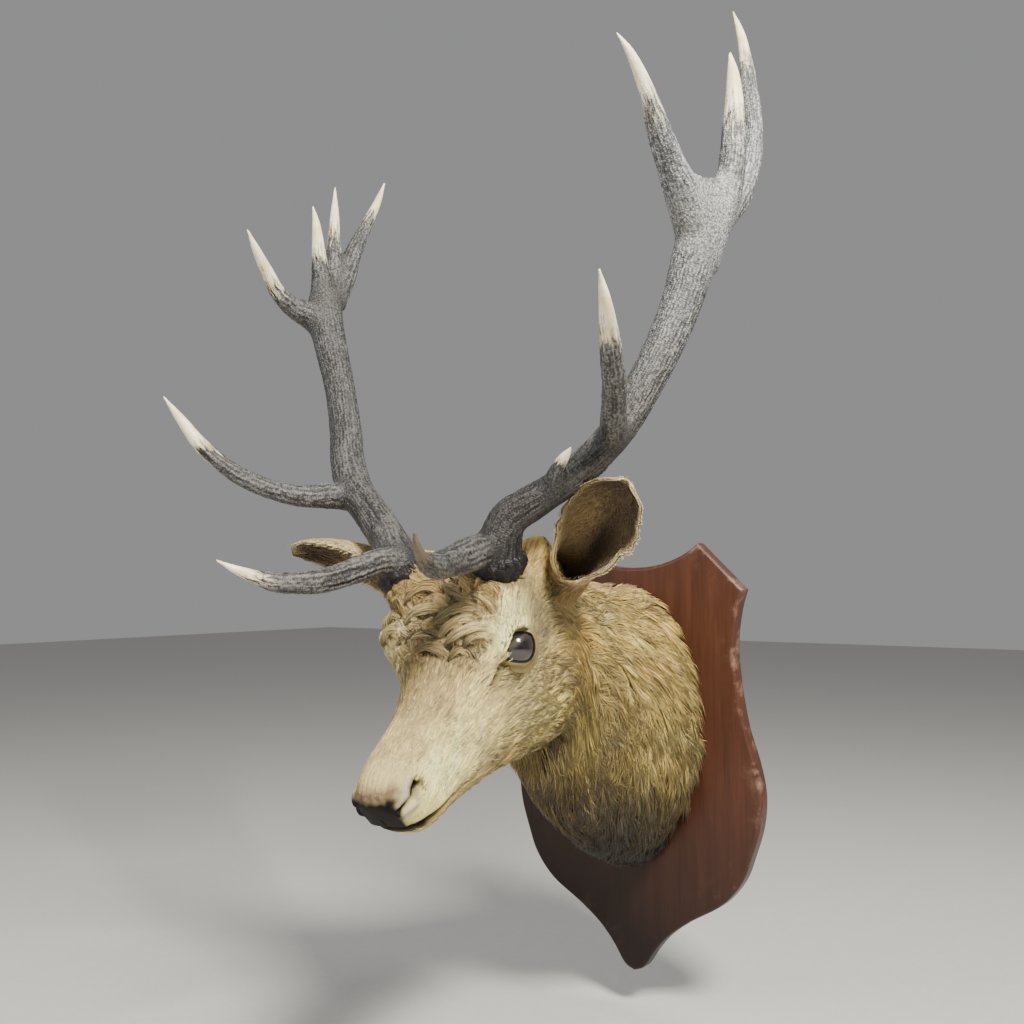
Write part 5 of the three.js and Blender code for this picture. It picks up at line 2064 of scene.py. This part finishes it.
# ------------------------------------------------------------------ antlers
# Each beam and tine from its root to its end: x, y, z and radius, centimetres.
ANTLERS = {
    "left": {
        "beam": [
            [3.2, -41.0, 25.6, 2.4], [3.4, -41.6, 27.6, 2.95], [3.8, -42.2, 29.4, 2.75],
            [5.2, -42.1, 32.9, 2.2], [7.7, -40.7, 34.9, 2.05], [10.2, -38.7, 37, 1.95],
            [12.8, -36.7, 39.6, 1.95], [15.2, -34.6, 43, 2.05], [16.9, -32, 47.6, 2.15],
            [18.5, -29.3, 52.9, 2.3], [20.4, -26.8, 59.9, 2.5], [21.4, -25.7, 65.1, 2.75],
            [22.0, -24.9, 68.4, 2.5], [22.4, -24.4, 71.4, 1.5],
        ],
        "crown_web_low": [
            [21.6, -28.0, 70.4, 1.9], [22.2, -26.6, 70.2, 1.9], [22.9, -25.0, 70.4, 1.9],
            [23.4, -23.6, 70.8, 1.9],
        ],
        "crown_web_middle": [
            [21.7, -29.6, 72.4, 1.5], [22.4, -27.6, 71.9, 1.4], [23.2, -25.2, 71.9, 1.4],
            [24.0, -22.8, 72.6, 1.5],
        ],
        "crown_web_high": [
            [21.8, -31.6, 74.4, 1.1], [22.3, -29.0, 73.8, 1.0], [23.2, -26.0, 73.7, 1.0],
            [24.2, -22.6, 74.6, 1.1],
        ],
        "brow_tine": [
            [3.1, -43.3, 29.6, 2.0], [3.7, -47.7, 28.8, 1.9], [5, -53.4, 27.8, 1.6],
            [7.6, -59.5, 27.5, 1.28], [9.5, -63.7, 28.3, 0.68], [10.4, -65.6, 29.5, 0.42],
            [10.9, -66.6, 30.7, 0.14],
        ],
        "bez_tine": [
            [9.6, -39.8, 35.9, 1.45], [10.9, -40.8, 38.0, 1.1], [12.2, -41.2, 39.7, 0.72],
            [13.3, -41.3, 41.0, 0.14],
        ],
        "tray_tine": [
            [15.5, -35.1, 42.3, 1.75], [17.5, -39, 44.3, 1.52], [20, -43.3, 46.9, 1.35],
            [22.2, -47.9, 49.5, 1.2], [23.9, -51.6, 51.8, 0.95], [25, -54.3, 53.9, 0.64],
            [25.6, -56.4, 56.3, 0.14],
        ],
        "crown_middle": [
            [22.0, -24.8, 63.5, 1.6], [22.4, -24, 68.2, 2.4], [24.1, -22.3, 73.4, 2.06],
            [24.8, -21.6, 77.2, 1.7], [24.9, -21.3, 81.7, 1.46], [24.9, -21, 85.6, 1.16],
            [24.7, -20.8, 89, 0.79], [24.3, -20.8, 92, 0.18],
        ],
        "crown_front": [
            [21.8, -25.2, 62.5, 1.6], [21.7, -25.6, 67.2, 2.4], [21.6, -29, 71.9, 2.24],
            [21.8, -33.1, 75, 1.72], [22.1, -36.5, 77.6, 1.35], [22.3, -38.8, 80, 0.99],
            [22.1, -40.9, 82.4, 0.76], [21.6, -42.5, 84.5, 0.49], [20.7, -43.7, 86.3, 0.12],
        ],
        "crown_back": [
            [22.3, -24.2, 63.5, 1.5], [22.7, -22.9, 69, 2.1], [24.1, -18.2, 74.5, 1.74],
            [24.4, -15, 79.7, 1.39], [23.9, -12.4, 85.5, 1.22], [22.8, -10.7, 90.8, 1.11],
            [21.6, -9.1, 96.1, 0.86], [20.7, -8.5, 100.1, 0.6], [19.5, -8.3, 103.8, 0.13],
        ],
    },
    "right": {
        "beam": [
            [-9.7, -41.2, 24.1, 2.4], [-10.1, -41.9, 26.1, 2.95], [-11.2, -42.3, 28.3, 2.7],
            [-14, -41.5, 31.6, 2.27], [-18.3, -39.6, 34.9, 2.2], [-23, -37.3, 38.1, 2.4],
            [-26.1, -35.2, 42, 2.3], [-28.4, -33.1, 46.5, 2.2], [-31.1, -31.4, 52.9, 2.15],
            [-34.3, -29.9, 59.6, 2.35], [-36.6, -28.8, 64.6, 2.6], [-37.4, -27.9, 67.8, 2.5],
        ],
        "brow_tine": [
            [-10.6, -43.4, 28.1, 1.97], [-10.8, -46.6, 28, 1.63], [-10.8, -50.7, 27, 1.47],
            [-11.1, -54.6, 26, 1.38], [-11.8, -58.7, 25.6, 1.24], [-12.7, -61.7, 25.7, 1.05],
            [-13.4, -64, 26.3, 0.77], [-14.3, -66.1, 27.1, 0.49], [-15.6, -67.7, 28.1, 0.12],
        ],
        "small_tine": [
            [-13.7, -42.2, 30.6, 0.95], [-13.5, -43.8, 31.8, 0.75], [-13.4, -44.7, 32.8, 0.43],
            [-13.2, -45, 33.8, 0.12],
        ],
        "tray_tine": [
            [-22.9, -37.9, 37, 2.0], [-24, -41.3, 36.9, 1.7], [-25.5, -44.9, 36.7, 1.42],
            [-27.2, -48.3, 37.4, 1.28], [-28.6, -50.7, 38.4, 1.2], [-30.4, -53.3, 40.2, 1.07],
            [-32.2, -55.8, 42.9, 0.94], [-33.9, -57.5, 46, 0.62], [-35.5, -58.9, 48.8, 0.12],
        ],
        "crown_middle": [
            [-37.3, -27.6, 66.8, 2.2], [-37.9, -26, 71, 1.6], [-38.5, -24.9, 74.1, 1.35],
            [-39.8, -23.6, 78, 0.99], [-40.9, -22.3, 82.5, 0.69], [-42, -21.1, 87.4, 0.15],
        ],
        "crown_front": [
            [-36.6, -28.8, 63.4, 2.2], [-37.3, -32.1, 64.6, 1.88], [-37.4, -35, 65.2, 1.42],
            [-37.2, -37.9, 66.6, 1.12], [-36.7, -40.4, 68.8, 0.9], [-36.3, -42.8, 71.2, 0.61],
            [-36.1, -44.8, 73.7, 0.13],
        ],
        "crown_outer": [
            [-37.2, -28.4, 66.6, 2.1], [-37.2, -28.9, 70.3, 1.61], [-37.1, -29.6, 73.4, 1.09],
            [-36.9, -30.2, 75.9, 0.87], [-36.7, -30.8, 78.3, 0.58], [-36.7, -31.5, 80.6, 0.14],
        ],
        "crown_back": [
            [-37.4, -26.6, 67, 2.2], [-37.8, -23.2, 72.3, 1.66], [-38.6, -20.8, 76, 1.38],
            [-39.5, -18, 79.5, 1.09], [-40.3, -15.2, 83.1, 0.87], [-41, -12.2, 87.1, 0.64],
            [-41.5, -9.7, 91.3, 0.16],
        ],
    },
}
# Length of the rubbed ivory tip of each tine, millimetres.
IVORY = {
    "brow_tine": 50, "bez_tine": 22, "tray_tine": 80, "crown_middle": 95, "crown_front": 85,
    "crown_back": 90, "crown_outer": 70,
}


@dataclass
class Rod:
    """One beam or tine sampled along its length, millimetres."""

    name: str
    centre: Array
    ahead: Array
    side: Array
    run: Array
    radius: Array
    ivory: float


@dataclass
class Antler:
    """One antler: its rods fused into one skin, then furrowed, pearled and given its burr."""

    side: str
    voxel: float = 2.0
    fillet: float = 22.0
    furrow: float = 1.1
    pearl: float = 0.5
    row_gap: float = 4.6

    def rod(self, name: str, rows: list[list[float]]) -> Rod:
        """Samples a rod every 2 mm along its Catmull-Rom middle line, with a frame that doesn't twist.

        Args:
            name: the beam's or tine's name.
            rows: x, y, z and radius in centimetres.

        Returns:
            The rod.
        """
        data = np.array(rows, float) * 10
        route = Route(data[:, :3])
        fine = np.linspace(0, 1, 800)
        p = route(fine)
        run = running(size(np.diff(p, axis=0)))
        count = max(int(run[-1] / 2.0), 8)
        u = np.interp(np.linspace(0, run[-1], count), run, fine)
        centre = route(u)
        ahead = unit(np.gradient(centre, axis=0))
        side = np.empty_like(ahead)
        last = np.array([1.0, 0.2, 0.0])
        for i, a in enumerate(ahead):
            last = last - a * (last @ a)
            last /= size(last)
            side[i] = last
        radius = Rail(np.linspace(0, 1, len(rows)), data[:, 3])(u)
        along = np.linspace(0, run[-1], count)
        return Rod(name, centre, ahead, side, along, radius, float(IVORY.get(name, 0.0)))

    def tube(self, rod: Rod, least: float) -> Shape:
        """A closed tube round a rod: circles of its radius, never under a least one, every second sample.

        Args:
            rod: the rod.
            least: the least radius.

        Returns:
            The shape.
        """
        cols = 20
        pick = np.unique(np.append(np.arange(0, len(rod.run), 2), len(rod.run) - 1))
        q = circle(cols)[None, :, None]
        side, up = rod.side[pick, None], np.cross(rod.ahead, rod.side)[pick, None]
        r = np.maximum(rod.radius, least)[pick, None, None]
        p = rod.centre[pick, None] + r * (side * np.cos(q) + up * np.sin(q))
        points = np.vstack([p.reshape(-1, 3), rod.centre[[0, -1]]])
        return outward(Shape(points, tube_faces(len(pick), cols)))

    def fused(self, rods: list[Rod]) -> tuple[Array, Array]:
        """The rods' tubes made one skin by a voxel remesh.

        Args:
            rods: the rods.

        Returns:
            The points in millimetres and the quads.
        """
        tubes = joined([self.tube(rod, 2.2) for rod in rods])
        rough = tubes.object("antler_rough", bpy.data.materials.new("rough"))
        remesh = rough.modifiers.new("Remesh", "REMESH")
        remesh.mode, remesh.voxel_size = "VOXEL", self.voxel * MM
        made = rough.evaluated_get(bpy.context.evaluated_depsgraph_get()).to_mesh()
        points = np.zeros(len(made.vertices) * 3, np.float32)
        made.vertices.foreach_get("co", points)
        quads = np.zeros(len(made.loops), np.int32)
        made.loops.foreach_get("vertex_index", quads)
        rough.to_mesh_clear()
        bpy.data.objects.remove(rough)
        return points.reshape(-1, 3).astype(float) / MM, quads.reshape(-1, 4)

    def nearest(self, p: Array, rods: list[Rod]) -> tuple[Array, Array, Array, Array]:
        """For each point, the rod whose surface is nearest, the sample on it, and how far the next one's is.

        Args:
            p: N by 3.
            rods: the rods.

        Returns:
            Rod index, sample index, distance to its surface, distance to the next one's.
        """
        gaps, samples = [], []
        for rod in rods:
            gap, sample = np.empty(len(p)), np.empty(len(p), int)
            for start in range(0, len(p), BLOCK):
                block = slice(start, start + BLOCK)
                d = np.sqrt(((p[block, None] - rod.centre[None]) ** 2).sum(-1)) - rod.radius[None]
                sample[block], gap[block] = d.argmin(1), d.min(1)
            gaps.append(gap)
            samples.append(sample)
        gaps, samples = np.array(gaps), np.array(samples)
        order = gaps.argsort(0)
        row = np.arange(len(p))
        return order[0], samples[order[0], row], gaps[order[0], row], gaps[order[1], row]

    def build(self) -> Shape:
        """The antler's skin: fused, filleted at the forks, furrowed, pearled, its burr beaded.

        Returns:
            The shape.
        """
        rods = [self.rod(name, rows) for name, rows in ANTLERS[self.side].items()]
        p, quads = self.fused(rods)
        which, sample, gap, other = self.nearest(p, rods)
        fork = np.clip(1 - (other - gap) / self.fillet, 0, 1)
        edges = np.concatenate([quads[:, [0, 1]], quads[:, [1, 2]], quads[:, [2, 3]], quads[:, [3, 0]]])
        degree = np.bincount(edges.ravel(), minlength=len(p))[:, None]

        def summed(at: Array, values: Array) -> Array:
            """Vectors added up at the points whose numbers are given."""
            return np.stack([np.bincount(at, values[:, k], len(p)) for k in range(3)], axis=1)

        def smoothed(values: Array) -> Array:
            """The mean of each point's neighbours."""
            ends = ((edges[:, 0], edges[:, 1]), (edges[:, 1], edges[:, 0]))
            return sum(summed(at, values[of]) for at, of in ends) / degree

        def normals(points: Array) -> Array:
            """Outward normals of the quads' corners, summed at the points."""
            a, b, c, d = (points[quads[:, k]] for k in range(4))
            return unit(summed(quads.ravel(), np.repeat(np.cross(c - a, d - b), 4, axis=0)))

        p = mix(p, smoothed(p), 0.5)
        round_off = p
        for _ in range(10):
            round_off = smoothed(round_off)
        hollow = ease(dot(round_off - p, normals(p))[:, 0], 0.15, 1.6)
        p = p + normals(p) * (fork ** 2 * self.fillet / 4 * (0.15 + 0.85 * hollow))[:, None]
        for _ in range(30):
            p = mix(p, smoothed(p), (0.8 * ease(fork, 0.02, 0.4) + 0.03)[:, None])
        first = running([len(rod.run) for rod in rods]).astype(int)[which] + sample
        centre, ahead, side, radius, run = (
            np.concatenate([getattr(rod, key) for rod in rods])[first]
            for key in ("centre", "ahead", "side", "radius", "run")
        )
        up = np.cross(ahead, side)
        rel = p - centre
        x, y, z = (np.sum(rel * axis, axis=1) for axis in (side, up, ahead))
        thin = np.minimum(radius, 2.2) / 2.2
        squeeze = mix(1.0, thin, ease(-radius, -2.2, -2.0))[:, None]
        p = p - (side * x[:, None] + up * y[:, None]) * (1 - squeeze)
        left = np.array([rod.run[-1] for rod in rods])[which] - run
        ivory = np.array([rod.ivory for rod in rods])[which]
        beam = np.array([rod.name == "beam" for rod in rods])[which]
        brow = np.array([rod.name == "brow_tine" for rod in rods])[which]
        tip = np.clip(np.where(ivory > 0, 1 - left / np.maximum(ivory * 2, 1.0), 0.0), 0, 1)
        rod_place = np.stack([x, y, run + z], axis=1) + (which * 900.0)[:, None] * np.array([0, 0, 1.0])
        rough = 1 - ease(tip, 0.4, 0.6)
        lower = np.where(beam, ease(-run, -420, -160), np.where(brow, 0.8, 0.35))
        grooves = 1 - np.abs(noise(rod_place * [0.16, 0.16, 0.016], 41, 2)) * 2
        pearls = noise(rod_place * [0.24, 0.24, 0.11], 43, 2)
        smooth_web = 1 - ease(fork, 0.45, 0.95)
        relief = (self.furrow * (0.25 + lower) * grooves + self.pearl * pearls) * rough * smooth_web
        burr = np.where(beam, bell(run - 24, 13.0), 0.0)
        collar = np.where(beam, bell(run - 27, 6.5), 0.0)
        angle = np.arctan2(y, x)
        beads = np.abs(np.cos(angle * 9 + 1.2 * noise(rod_place * 0.05, 47)))
        crown = burr * 0.8 + collar * (2.2 + 3.4 * beads + 2.2 * noise(rod_place * 0.2, 49, 2))
        p = p + normals(p) * (relief + crown)[:, None]
        LOG.info("antler %s: %d triangles", self.side, 2 * len(quads))
        # The dark base is oiled bone. The left antler paling with height is painted light, and the right
        # antler staying dark is painted shade.
        age_and_light = ease(p[:, 2], 300, 860) if self.side == "left" else 0.10 + 0.14 * ease(p[:, 2], 290, 900)
        girth = 2 * math.pi * np.array([np.median(rod.radius) for rod in rods])
        return Shape(p, [quads], None, None, {
            "Rod": rod_place * MM,
            "Relief": np.clip(relief, -1.5, 1.5) / 1.5,
            "Tip": tip,
            "Burr": np.where(beam, np.clip(1.25 * bell(run - 16, 30.0), 0, 1), 0.0),
            "AgeAndLight": age_and_light + np.where(beam, 0.0, 0.12 * (1 - fork)),
            "Web": ease(fork, 0.5, 0.92),
            "Rows": np.maximum(np.round(girth / self.row_gap), 8)[which],
            # Painted shade on the left brow tine.
            "BrowShade": 0.95 * brow * (self.side == "left"),
        })


# ------------------------------------------------------------------ the board
@dataclass
class Board:
    """The shield: its half outline in x and z from the top notch to the foot, and its sizes, millimetres."""

    thick: float = 22.0
    bevel: float = 5.0
    half: tuple[tuple[float, float], ...] = (
        (0, 276), (30, 278), (62, 286), (86, 297), (106, 311), (174, 245), (166, 218), (160, 172),
        (164, 113), (175, 53), (190, 5), (198, -36), (195, -79), (182, -122), (168, -157), (140, -191),
        (88, -224), (56, -248), (35, -271), (14, -300), (0, -306),
    )
    corners: tuple[int, ...] = (0, 4, 5, 20)
    middle: tuple[float, float] = (0.0, 20.0)
    slide_reach: float = 34.0

    def outline(self) -> Array:
        """The closed outline: Catmull-Rom arcs between the sharp corners, mirrored.

        Returns:
            N by 2, x and z.
        """
        pieces = []
        for a, b in zip(self.corners[:-1], self.corners[1:]):
            knots = np.array([(x, 0.0, z) for x, z in self.half[a:b + 1]], float)
            steps = max(int(size(np.diff(knots, axis=0)).sum() / 5), 3)
            pieces.append(Route(knots)(np.linspace(0, 1, steps + 1)[:-1])[:, [0, 2]])
        right = np.vstack(pieces + [[self.half[-1]]])
        return np.vstack([right, right[1:-1][::-1] * [-1, 1]])

    def inset(self, line: Array, by: float) -> Array:
        """The outline drawn in along its normal, mitred at the sharp corners, with the points beside a corner
        slid along so that none cross.

        Args:
            line: the closed outline.
            by: how far.

        Returns:
            The inset outline.
        """
        ahead, behind = (unit(np.roll(line, step, axis=0) - line) for step in (-1, 1))
        way = unit(ahead - behind)
        inward = np.stack([way[:, 1], -way[:, 0]], axis=1)
        inward *= np.sign(np.sum(inward * (np.array(self.middle) - line), axis=1).mean())
        half = np.arccos(np.clip(np.sum(ahead * behind, axis=1), -1, 1)) / 2
        convex = np.sum((ahead + behind) * inward, axis=1) > 0
        out = line + inward * by
        run = running(size(np.diff(line, axis=0)))
        total = run[-1] + size(line[0] - line[-1])
        for c in np.flatnonzero((half < math.radians(80)) & convex):
            gap = (run - run[c] + total / 2) % total - total / 2
            slide = np.clip(1 - np.abs(gap) / self.slide_reach, 0, None) * by / math.tan(half[c])
            out = out + way * (np.sign(gap) * slide)[:, None]
            out[c] = line[c] + inward[c] * by / math.sin(half[c])
        return out

    def build(self) -> Shape:
        """The board: the outline carried up its edge, over a rounded bevel and in to the middle of the face.

        Returns:
            The shape with its edge wear.
        """
        line, middle, edge = self.outline(), np.array(self.middle), self.bevel + 1.5
        rows = [(0.0, 0.6, 0.2), (-0.6, 0.0, 0.6), (-self.thick + self.bevel, 0.0, 0.9)]
        for a in np.radians([22, 45, 68, 90]):
            rows.append(
                (-self.thick + self.bevel - self.bevel * math.sin(a), self.bevel * (1 - math.cos(a)), 1.0)
            )
        rings = [(y, self.inset(line, inset), worn) for y, inset, worn in rows + [(-self.thick, edge, 0.35)]]
        for share in (0.85, 0.6, 0.3, 0.1):
            rings.append((-self.thick, middle + (self.inset(line, edge) - middle) * share, 0.0))
        points = [np.insert(flat, 1, y, axis=1) for y, flat, _ in rings]
        centre = [[middle[0], y, middle[1]] for y in (0.0, -self.thick)]
        wear = np.repeat([worn for _, _, worn in rings], len(line))
        faces = tube_faces(len(rings), len(line))
        return outward(
            Shape(np.vstack(points + [centre]), faces, None, None, {"Edge": np.append(wear, [0, 0])})
        )


# ------------------------------------------------------------------ the studio
@dataclass(frozen=True)
class Studio:
    """Camera, floor and lights, metres and degrees."""

    eye: Point = (0.8037, -1.5278, 0.2635)
    pitch: float = 93.2
    heading: float = 34.0
    lens: float = 40.43
    floor: float = -0.36
    half_floor: float = 9.0

    def light(self, name: str, at: Point, to: Point, side: float, power: float, rgb: Point) -> None:
        """A square soft box that looks at a point.

        Args:
            name: the light's name.
            at: its place.
            to: where it looks.
            side: its size.
            power: watts.
            rgb: its colour.
        """
        data = bpy.data.lights.new(name, "AREA")
        data.size, data.energy, data.color = side, power, rgb
        lamp = bpy.data.objects.new(name, data)
        way = np.array(to) - np.array(at)
        lamp.location = at
        lamp.rotation_euler = (math.acos(-way[2] / size(way)), 0.0, math.atan2(way[1], way[0]) - math.pi / 2)
        bpy.context.scene.collection.objects.link(lamp)

    def build(self) -> None:
        """Makes the floor, the lights, the even surroundings and the camera."""
        signs = ((-1, -1), (1, -1), (1, 1), (-1, 1))
        corners = [(x * self.half_floor, y * self.half_floor, self.floor) for x, y in signs]
        plane = Shape(np.array(corners) / MM, [np.array([[0, 1, 2, 3]])])
        paint_it = PlainFinish((205, 203, 199), 0.9).make("floor_paint")
        plane.object("floor", paint_it, smooth=False)
        world = bpy.data.worlds.new("surroundings")
        world.use_nodes = True
        sky = world.node_tree.nodes["Background"].inputs
        sky[0].default_value, sky[1].default_value = (0.66, 0.66, 0.67, 1), 0.44
        bpy.context.scene.world = world
        self.light("key", (1.5, -1.35, 2.0), (0.0, -0.35, 0.15), 0.6, 165.0, (1.0, 0.955, 0.87))
        self.light("fill", (-1.6, -2.0, 1.2), (0.0, -0.4, 0.2), 1.6, 26.0, (0.98, 0.98, 1.0))
        self.light("rim", (0.9, 0.4, 1.9), (0.0, -0.3, 0.3), 0.8, 14.0, (1.0, 0.97, 0.92))
        data = bpy.data.cameras.new("camera")
        data.lens, data.sensor_width, data.clip_end = self.lens, 36.0, 50.0
        camera = bpy.data.objects.new("camera", data)
        camera.location = self.eye
        camera.rotation_euler = (math.radians(self.pitch), 0.0, math.radians(self.heading))
        bpy.context.scene.collection.objects.link(camera)
        bpy.context.scene.camera = camera


# ------------------------------------------------------------------ the mount
GROWTHS = [
    Growth(Part.FACE_LEFT, 22, 370, 0, 96, 18200, 3, 10, 0.65, 101),
    Growth(Part.FACE_RIGHT, 22, 370, -96, 0, 11500, 3, 10, 0.65, 102),
    Growth(Part.JAW_LEFT, 22, 410, 92, 182, 15200, 3, 10, 0.65, 103),
    Growth(Part.JAW_RIGHT, 22, 410, -182, -92, 9600, 3, 10, 0.65, 104),
    Growth(Part.FOREHEAD, 185, 345, -64, 64, 4600, 5, 9, 0.45, 110, 1.5, 1.3, 0.4),
    Growth(Part.POLL, 285, 460, -72, 72, 7800, 3, 8, 0.5, 105, 0.6),
    Growth(Part.NECK_LEFT_HIGH, 320, 700, 0, 92, 10500, 4, 9, 0.65, 106),
    Growth(Part.NECK_LEFT_LOW, 350, 700, 88, 182, 10800, 4, 9, 0.65, 107),
    Growth(Part.NECK_RIGHT_HIGH, 320, 700, -92, 0, 6500, 4, 9, 0.65, 108),
    Growth(Part.NECK_RIGHT_LOW, 350, 700, -182, -88, 6700, 4, 9, 0.65, 109),
]


class Mount:
    """The whole stag head on its board."""

    def settle(self, piece: bpy.types.Object, slot: str, *nodes: str) -> None:
        """Ties a piece to the frame.

        Args:
            piece: the object.
            slot: not used.
            nodes: CAD nodes that it stands for.
        """
        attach(piece, BODY)
        if nodes:
            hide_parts(*nodes)
        LOG.info("%s: %d faces", piece.name, len(piece.data.polygons))

    def build_skin(self) -> None:
        """One skin for head, neck and ears."""
        whole = joined([outward(SKIN.build())] + [ear.build() for ear in EARS.values()])
        LOG.info("skin: %d triangles", whole.triangles())
        piece = whole.object("skin", SkinFinish().make("hide"))
        self.settle(piece, "coat", "neck", "head", "muzzle", "lower_jaw", "nose_pad", "ear_left", "ear_right")

    def build_eyes(self) -> None:
        """Glass eyes and lid edges."""
        glass = EyeFinish().make("eye_glass")
        lids = SkinFinish().make("lid_skin")
        for side, sign in (("left", 1), ("right", -1)):
            self.settle(Eyes().ball(sign).object(f"eye_glass_{side}", glass), "eye_glass", f"eye_{side}")
            self.settle(Eyes().lid(sign).object(f"eyelid_{side}", lids), "coat")

    def build_antlers(self) -> None:
        """Both antlers."""
        bone = AntlerFinish().make("antler_bone")
        for side in ANTLERS:
            piece = Antler(side).build().object(f"antler_{side}", bone)
            nodes = sorted(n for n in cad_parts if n.startswith(f"antler_{side}_"))
            self.settle(piece, "antler_bone", *nodes)

    def build_board(self) -> None:
        """The shield."""
        piece = Board().build().object("shield", BoardFinish().make("board_wood"), smooth=False)
        self.settle(piece, "board_wood", "board")

    def build_coat(self) -> None:
        """The loose coat, piece by piece."""
        hair, fur = HairFinish().make("deer_hair"), Fur()
        pieces = [(growth.part.value, "coat", fur.grow(growth)) for growth in GROWTHS]
        pieces.append(("coat_forehead_locks", "coat", fur.locks(fur.whorls())))
        for side, ear in EARS.items():
            pieces.append((f"coat_ear_{side}", "ear_skin", fur.ear(ear, *EAR_HAIRS[side])))
        for name, slot, shape in pieces:
            self.settle(shape.object(name, hair), slot)
        LOG.info("coat: %d triangles", sum(shape.triangles() for _, _, shape in pieces))


def main() -> None:
    """Builds the mount and the studio."""
    logging.basicConfig(level=logging.INFO, format="%(message)s")
    mount = Mount()
    Studio().build()
    mount.build_board()
    mount.build_skin()
    mount.build_eyes()
    mount.build_antlers()
    mount.build_coat()


if __name__ == "__main__":
    main()
